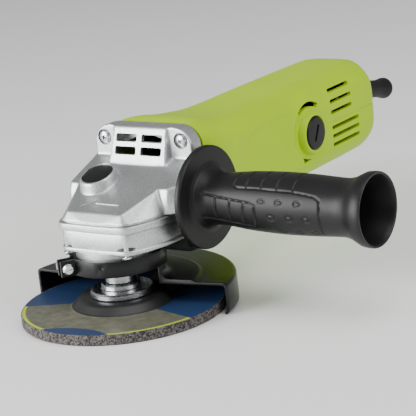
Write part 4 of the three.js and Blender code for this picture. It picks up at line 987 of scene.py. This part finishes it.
def motor_housing():
    """The motor housing, with its vents and openings."""
    shell = shell_of("motor_body", False)
    cap_holes = [rod("cap_hole", CAP_R + 1, (CAP_X, side * 15, MOTOR_Z), (CAP_X, side * 40, MOTOR_Z), 64)
                 for side in (1, -1)]
    switch_slot = box("switch_slot", (100.6, 20, MOTOR_Z + 11.6), (115.4, 40, MOTOR_Z + 18.4))
    tools = cap_holes + [switch_slot] + vent_tools(6.3, 6.7, 25)
    tools += [crescent(1), crescent(-1), corner_opening(1), corner_opening(-1)]
    for tool in tools:
        cut(shell, tool)
    gather(shell, cap_ring(1), cap_ring(-1))
    smooth(shell, 32)
    install(shell, lime, "casing", "lime_plastic", "motor_housing")


def rear_cover():
    """The lower tail cover, with its vents and screw wells."""
    shell = shell_of("tail_cover", True)
    tools = vent_tools(-3.4, -5.4, 32)
    for x in (TAIL_SPLIT_X + 6, BODY_REAR_X - 25):
        tools.append(rod("screw_well", 3.4, (x, 0, 20), (x, 0, MOTOR_Z - 25.6), 32))
    for tool in tools:
        cut(shell, tool)
    smooth(shell, 32)
    install(shell, lime, "casing", "lime_plastic", "rear_cover")


def brush_caps():
    """The two brush caps."""
    for label, side in (("right", -1), ("left", 1)):
        profile = [(0, CAP_FACE_Y - 4.5), (CAP_R - 0.1, CAP_FACE_Y - 4.5), (CAP_R - 0.1, CAP_FACE_Y - 0.7)]
        profile += [(CAP_R - 0.7, CAP_FACE_Y - 0.1), (CAP_R - 1.5, CAP_FACE_Y), (0, CAP_FACE_Y)]
        cap = lathe(f"brush_cap_cover_{label}", profile, 96, "-Y" if side < 0 else "Y")
        groove = box("groove", (-5.4, min(side * (CAP_FACE_Y - 1.3), side * 40), -0.9),
                     (5.4, max(side * (CAP_FACE_Y - 1.3), side * 40), 0.9))
        round_edges(groove, 0.4 * mm, 2)
        groove.data.transform(Matrix.Rotation(math.radians(-62 if side < 0 else 62), 4, "Y"))
        cut(cap, groove)
        move(cap, CAP_X, 0, MOTOR_Z)
        smooth(cap, 35)
        install(cap, black_plastic, "casing", "black_plastic", f"brush_cap_{label}")


def cord_sleeve():
    """The rubber sleeve that the cord would leave by, belled at its end."""
    tip = 57
    profile = [(3.4, -12), (7.4, -12), (7.4, -9.6), (5.9, -9.4), (6.2, 0), (6.2, 12), (5.9, 30)]
    profile += [(5.7, tip - 14), (5.8, tip - 10), (6.3, tip - 6.5), (6.85, tip - 3.4)]
    profile += [(6.9, tip - 1.4), (6.5, tip - 0.4)]
    profile += [(5.4, tip), (3.9, tip - 0.4), (3.4, tip - 2)]
    sleeve = lathe("cord_sleeve", profile, 64)
    lie = Matrix.Translation((BODY_REAR_X * mm, 0, TAIL_EXIT_Z * mm))
    sleeve.data.transform(lie @ Matrix.Rotation(math.radians(90 + 11), 4, "Y"))
    smooth(sleeve, 35)
    install(sleeve, black_rubber, "casing", "rubber", "strain_relief")


# ---------------------------------------------------------------- side handle
handle_outline = [
    (28.5, 0.0), (28.7, 0.4), (28.7, 2.8), (28.2, 3.3), (20, 3.7), (17.4, 4.6), (15.6, 6.8),
    (14.6, 10), (14.4, 14), (14.8, 20), (16.1, 34), (16.8, 54), (16.5, 72), (15.7, 89), (15.9, 94),
    (16.9, 98), (18.7, 101.6), (19.9, 104.2), (20.2, 106.6), (20.2, 109), (19.9, 109.7),
    (19.0, 109.6), (18.6, 109), (15.2, 98), (13, 86), (11.6, 66), (0, 64),
]

# Grip lines, as corners of (distance along the handle in mm, angle up from the disc side in degrees).
grip_lines = [
    [(27.4, 90), (27.6, 47), (30, 41.5), (66.5, 38.5), (75, 35.5), (80, 33), (83, 26), (83.4, 12),
     (82.9, -20), (82, -48)],
    [(35.8, 90), (36.2, 41.5)],
    [(45.2, 90), (46.2, 41)],
    [(55.4, 90), (56.2, 40)],
    [(65.6, 90), (66.4, 39)],
    [(6.5, 27), (18, 20.5), (28.4, 16.5), (39.2, 13), (43, 8), (43.1, -6), (42.8, -21), (41, -39),
     (32, -36), (15, -34), (6.5, -27)],
    [(16.6, 20), (16, -34)],
    [(26.8, 16.5), (25.4, -35)],
    [(36.2, 13.5), (34, -37)],
]
dimples = [(t, 17) for t in (47.9, 58.9, 70.3)] + [(t, -12.5) for t in (53.1, 64.3, 74.8)]
dimples += [(t, -44) for t in (57.1, 68.1, 78)]


def gap_to_segment(point, start, end):
    """The distance from a place to a straight line between two ends."""
    span = (end[0] - start[0], end[1] - start[1])
    to = (point[0] - start[0], point[1] - start[1])
    share = (to[0] * span[0] + to[1] * span[1]) / (span[0] ** 2 + span[1] ** 2)
    share = min(1, max(0, share))
    return math.hypot(to[0] - share * span[0], to[1] - share * span[1])


def grip_relief(along, angle, radius):
    """How far the grip's skin is let in: V-shaped lines between the cells, and ringed dimples."""
    if not 5 < along < 86:
        return 0
    per_degree = math.radians(1) * radius
    near_side = angle if abs(angle) <= 90 else math.copysign(180, angle) - angle
    spot = (along, near_side * per_degree)
    let_in = 0
    for line in grip_lines:
        for start, end in zip(line, line[1:]):
            gap = gap_to_segment(spot, *[(t, a * per_degree) for t, a in (start, end)])
            let_in = max(let_in, 0.5 * (1 - softstep(0.1, 0.8, gap)))
    for t, a in dimples:
        gap = math.hypot((spot[0] - t) / 1.3, spot[1] - a * per_degree)
        let_in = max(let_in, 0.4 * softstep(0.9, 1.3, gap) * (1 - softstep(1.6, 2.1, gap)))
    return let_in


def side_handle():
    """The side handle, with its grip lines and dimples."""
    fine = []
    for (r0, t0), (r1, t1) in zip(handle_outline, handle_outline[1:]):
        grip = 3 < t0 and t1 < 95 and min(r0, r1) > 14 and t1 > t0
        long = math.hypot(r1 - r0, t1 - t0)
        steps = max(1, round(long / (0.55 if grip else 2.2)))
        fine += [(r0 + (r1 - r0) * i / steps, t0 + (t1 - t0) * i / steps, grip) for i in range(steps)]
    fine.append((*handle_outline[-1], False))
    rows = len(fine) - 1
    curve = [(t, r) for r, t in handle_outline[6:16]]

    def place(u, v):
        radius, along, grip = fine[round(v * rows)]
        angle = 360 * u - 180
        if grip and along > 6.8:
            radius = between(curve, along)[0]
            radius -= grip_relief(along, angle, radius)
        turn = math.radians(angle)
        x, z = HANDLE_X - radius * math.cos(turn), HANDLE_Z + radius * math.sin(turn)
        return (x, -HANDLE_SEAT_Y - along, z)

    handle = skin("side_handle_moulding", 220, rows, place)
    seat_plane = (-HANDLE_SEAT_Y - 0.01) * mm
    select(handle, "EDGE", lambda middle, along: middle.y > seat_plane and abs(along.y) < 1e-6)
    centre = (HANDLE_X * mm, 0, HANDLE_Z * mm)
    bpy.ops.mesh.extrude_edges_move(TRANSFORM_OT_translate={"value": (0, 0, 0)})
    bpy.ops.transform.resize(value=(4.2 / 28.5, 1, 4.2 / 28.5), center_override=centre)
    bpy.ops.mesh.extrude_edges_move(TRANSFORM_OT_translate={"value": (0, -30 * mm, 0)})
    bpy.ops.mesh.edge_face_add()
    bpy.ops.mesh.select_all(action="SELECT")
    bpy.ops.mesh.normals_make_consistent(inside=False)
    done()
    smooth(handle, 50)
    install(handle, black_rubber_grip, "casing", "black_plastic", "side_handle")

dress_frame()
grinding_disc()
guard_pressing()
clamp_band()
turned_parts()
screws()
head_castings()
gear_cover()
lock_button()
motor_housing()
rear_cover()
brush_caps()
cord_sleeve()
side_handle()


# ---------------------------------------------------------------- studio
def studio():
    """The camera at a low front corner, a pale floor, and large soft lights."""
    camera_data = bpy.data.cameras.new("camera")
    camera_data.sensor_width = 36
    camera_data.lens = 173.08
    camera_data.clip_end = 50
    camera = bpy.data.objects.new("camera", camera_data)
    camera.location = (-0.8246, -0.6672, 0.3448)
    camera.rotation_euler = [math.radians(a) for a in (74.505, 6.212, -55.565)]
    bpy.context.scene.collection.objects.link(camera)
    bpy.context.scene.camera = camera

    floor = primitive("floor", "plane", size=8)
    move(floor, z=cad_box[0][2] / mm - 0.02)
    material, tree, shader, place = finish("white_paper")
    fibre = add(tree, "TexNoise", {"Vector": place, "Scale": per_mm(3), "Detail": 3})
    tone = add(tree, "MapRange", {"Value": fibre.outputs["Fac"], "To Min": 0.92, "To Max": 0.95})
    plug(tree, shader, color=tone.outputs[0])
    shader.inputs["Roughness"].default_value = 0.5
    dress(floor, material)

    world = bpy.data.worlds.new("studio")
    world.use_nodes = True
    background = world.node_tree.nodes["Background"]
    background.inputs["Color"].default_value = (1, 1, 1, 1)
    background.inputs["Strength"].default_value = 0.34
    bpy.context.scene.world = world

    def light(name, place, target, size, power):
        data = bpy.data.lights.new(name, "AREA")
        data.shape = "RECTANGLE"
        data.size, data.size_y = size
        data.energy = power
        lamp = bpy.data.objects.new(name, data)
        lamp.location = place
        aim = Vector(target) - Vector(place)
        lamp.rotation_euler = aim.to_track_quat("-Z", "Y").to_euler()
        bpy.context.scene.collection.objects.link(lamp)

    middle = (0.1, 0, 0.05)
    light("front_softbox", (-1.1, 0.8, 0.45), middle, (1.2, 0.9), 40)
    light("side_softbox", (0.1, -1.3, 0.8), middle, (1.0, 0.8), 12)
    light("top_softbox", (-0.1, -0.4, 1.5), middle, (1.2, 1.0), 11)


studio()
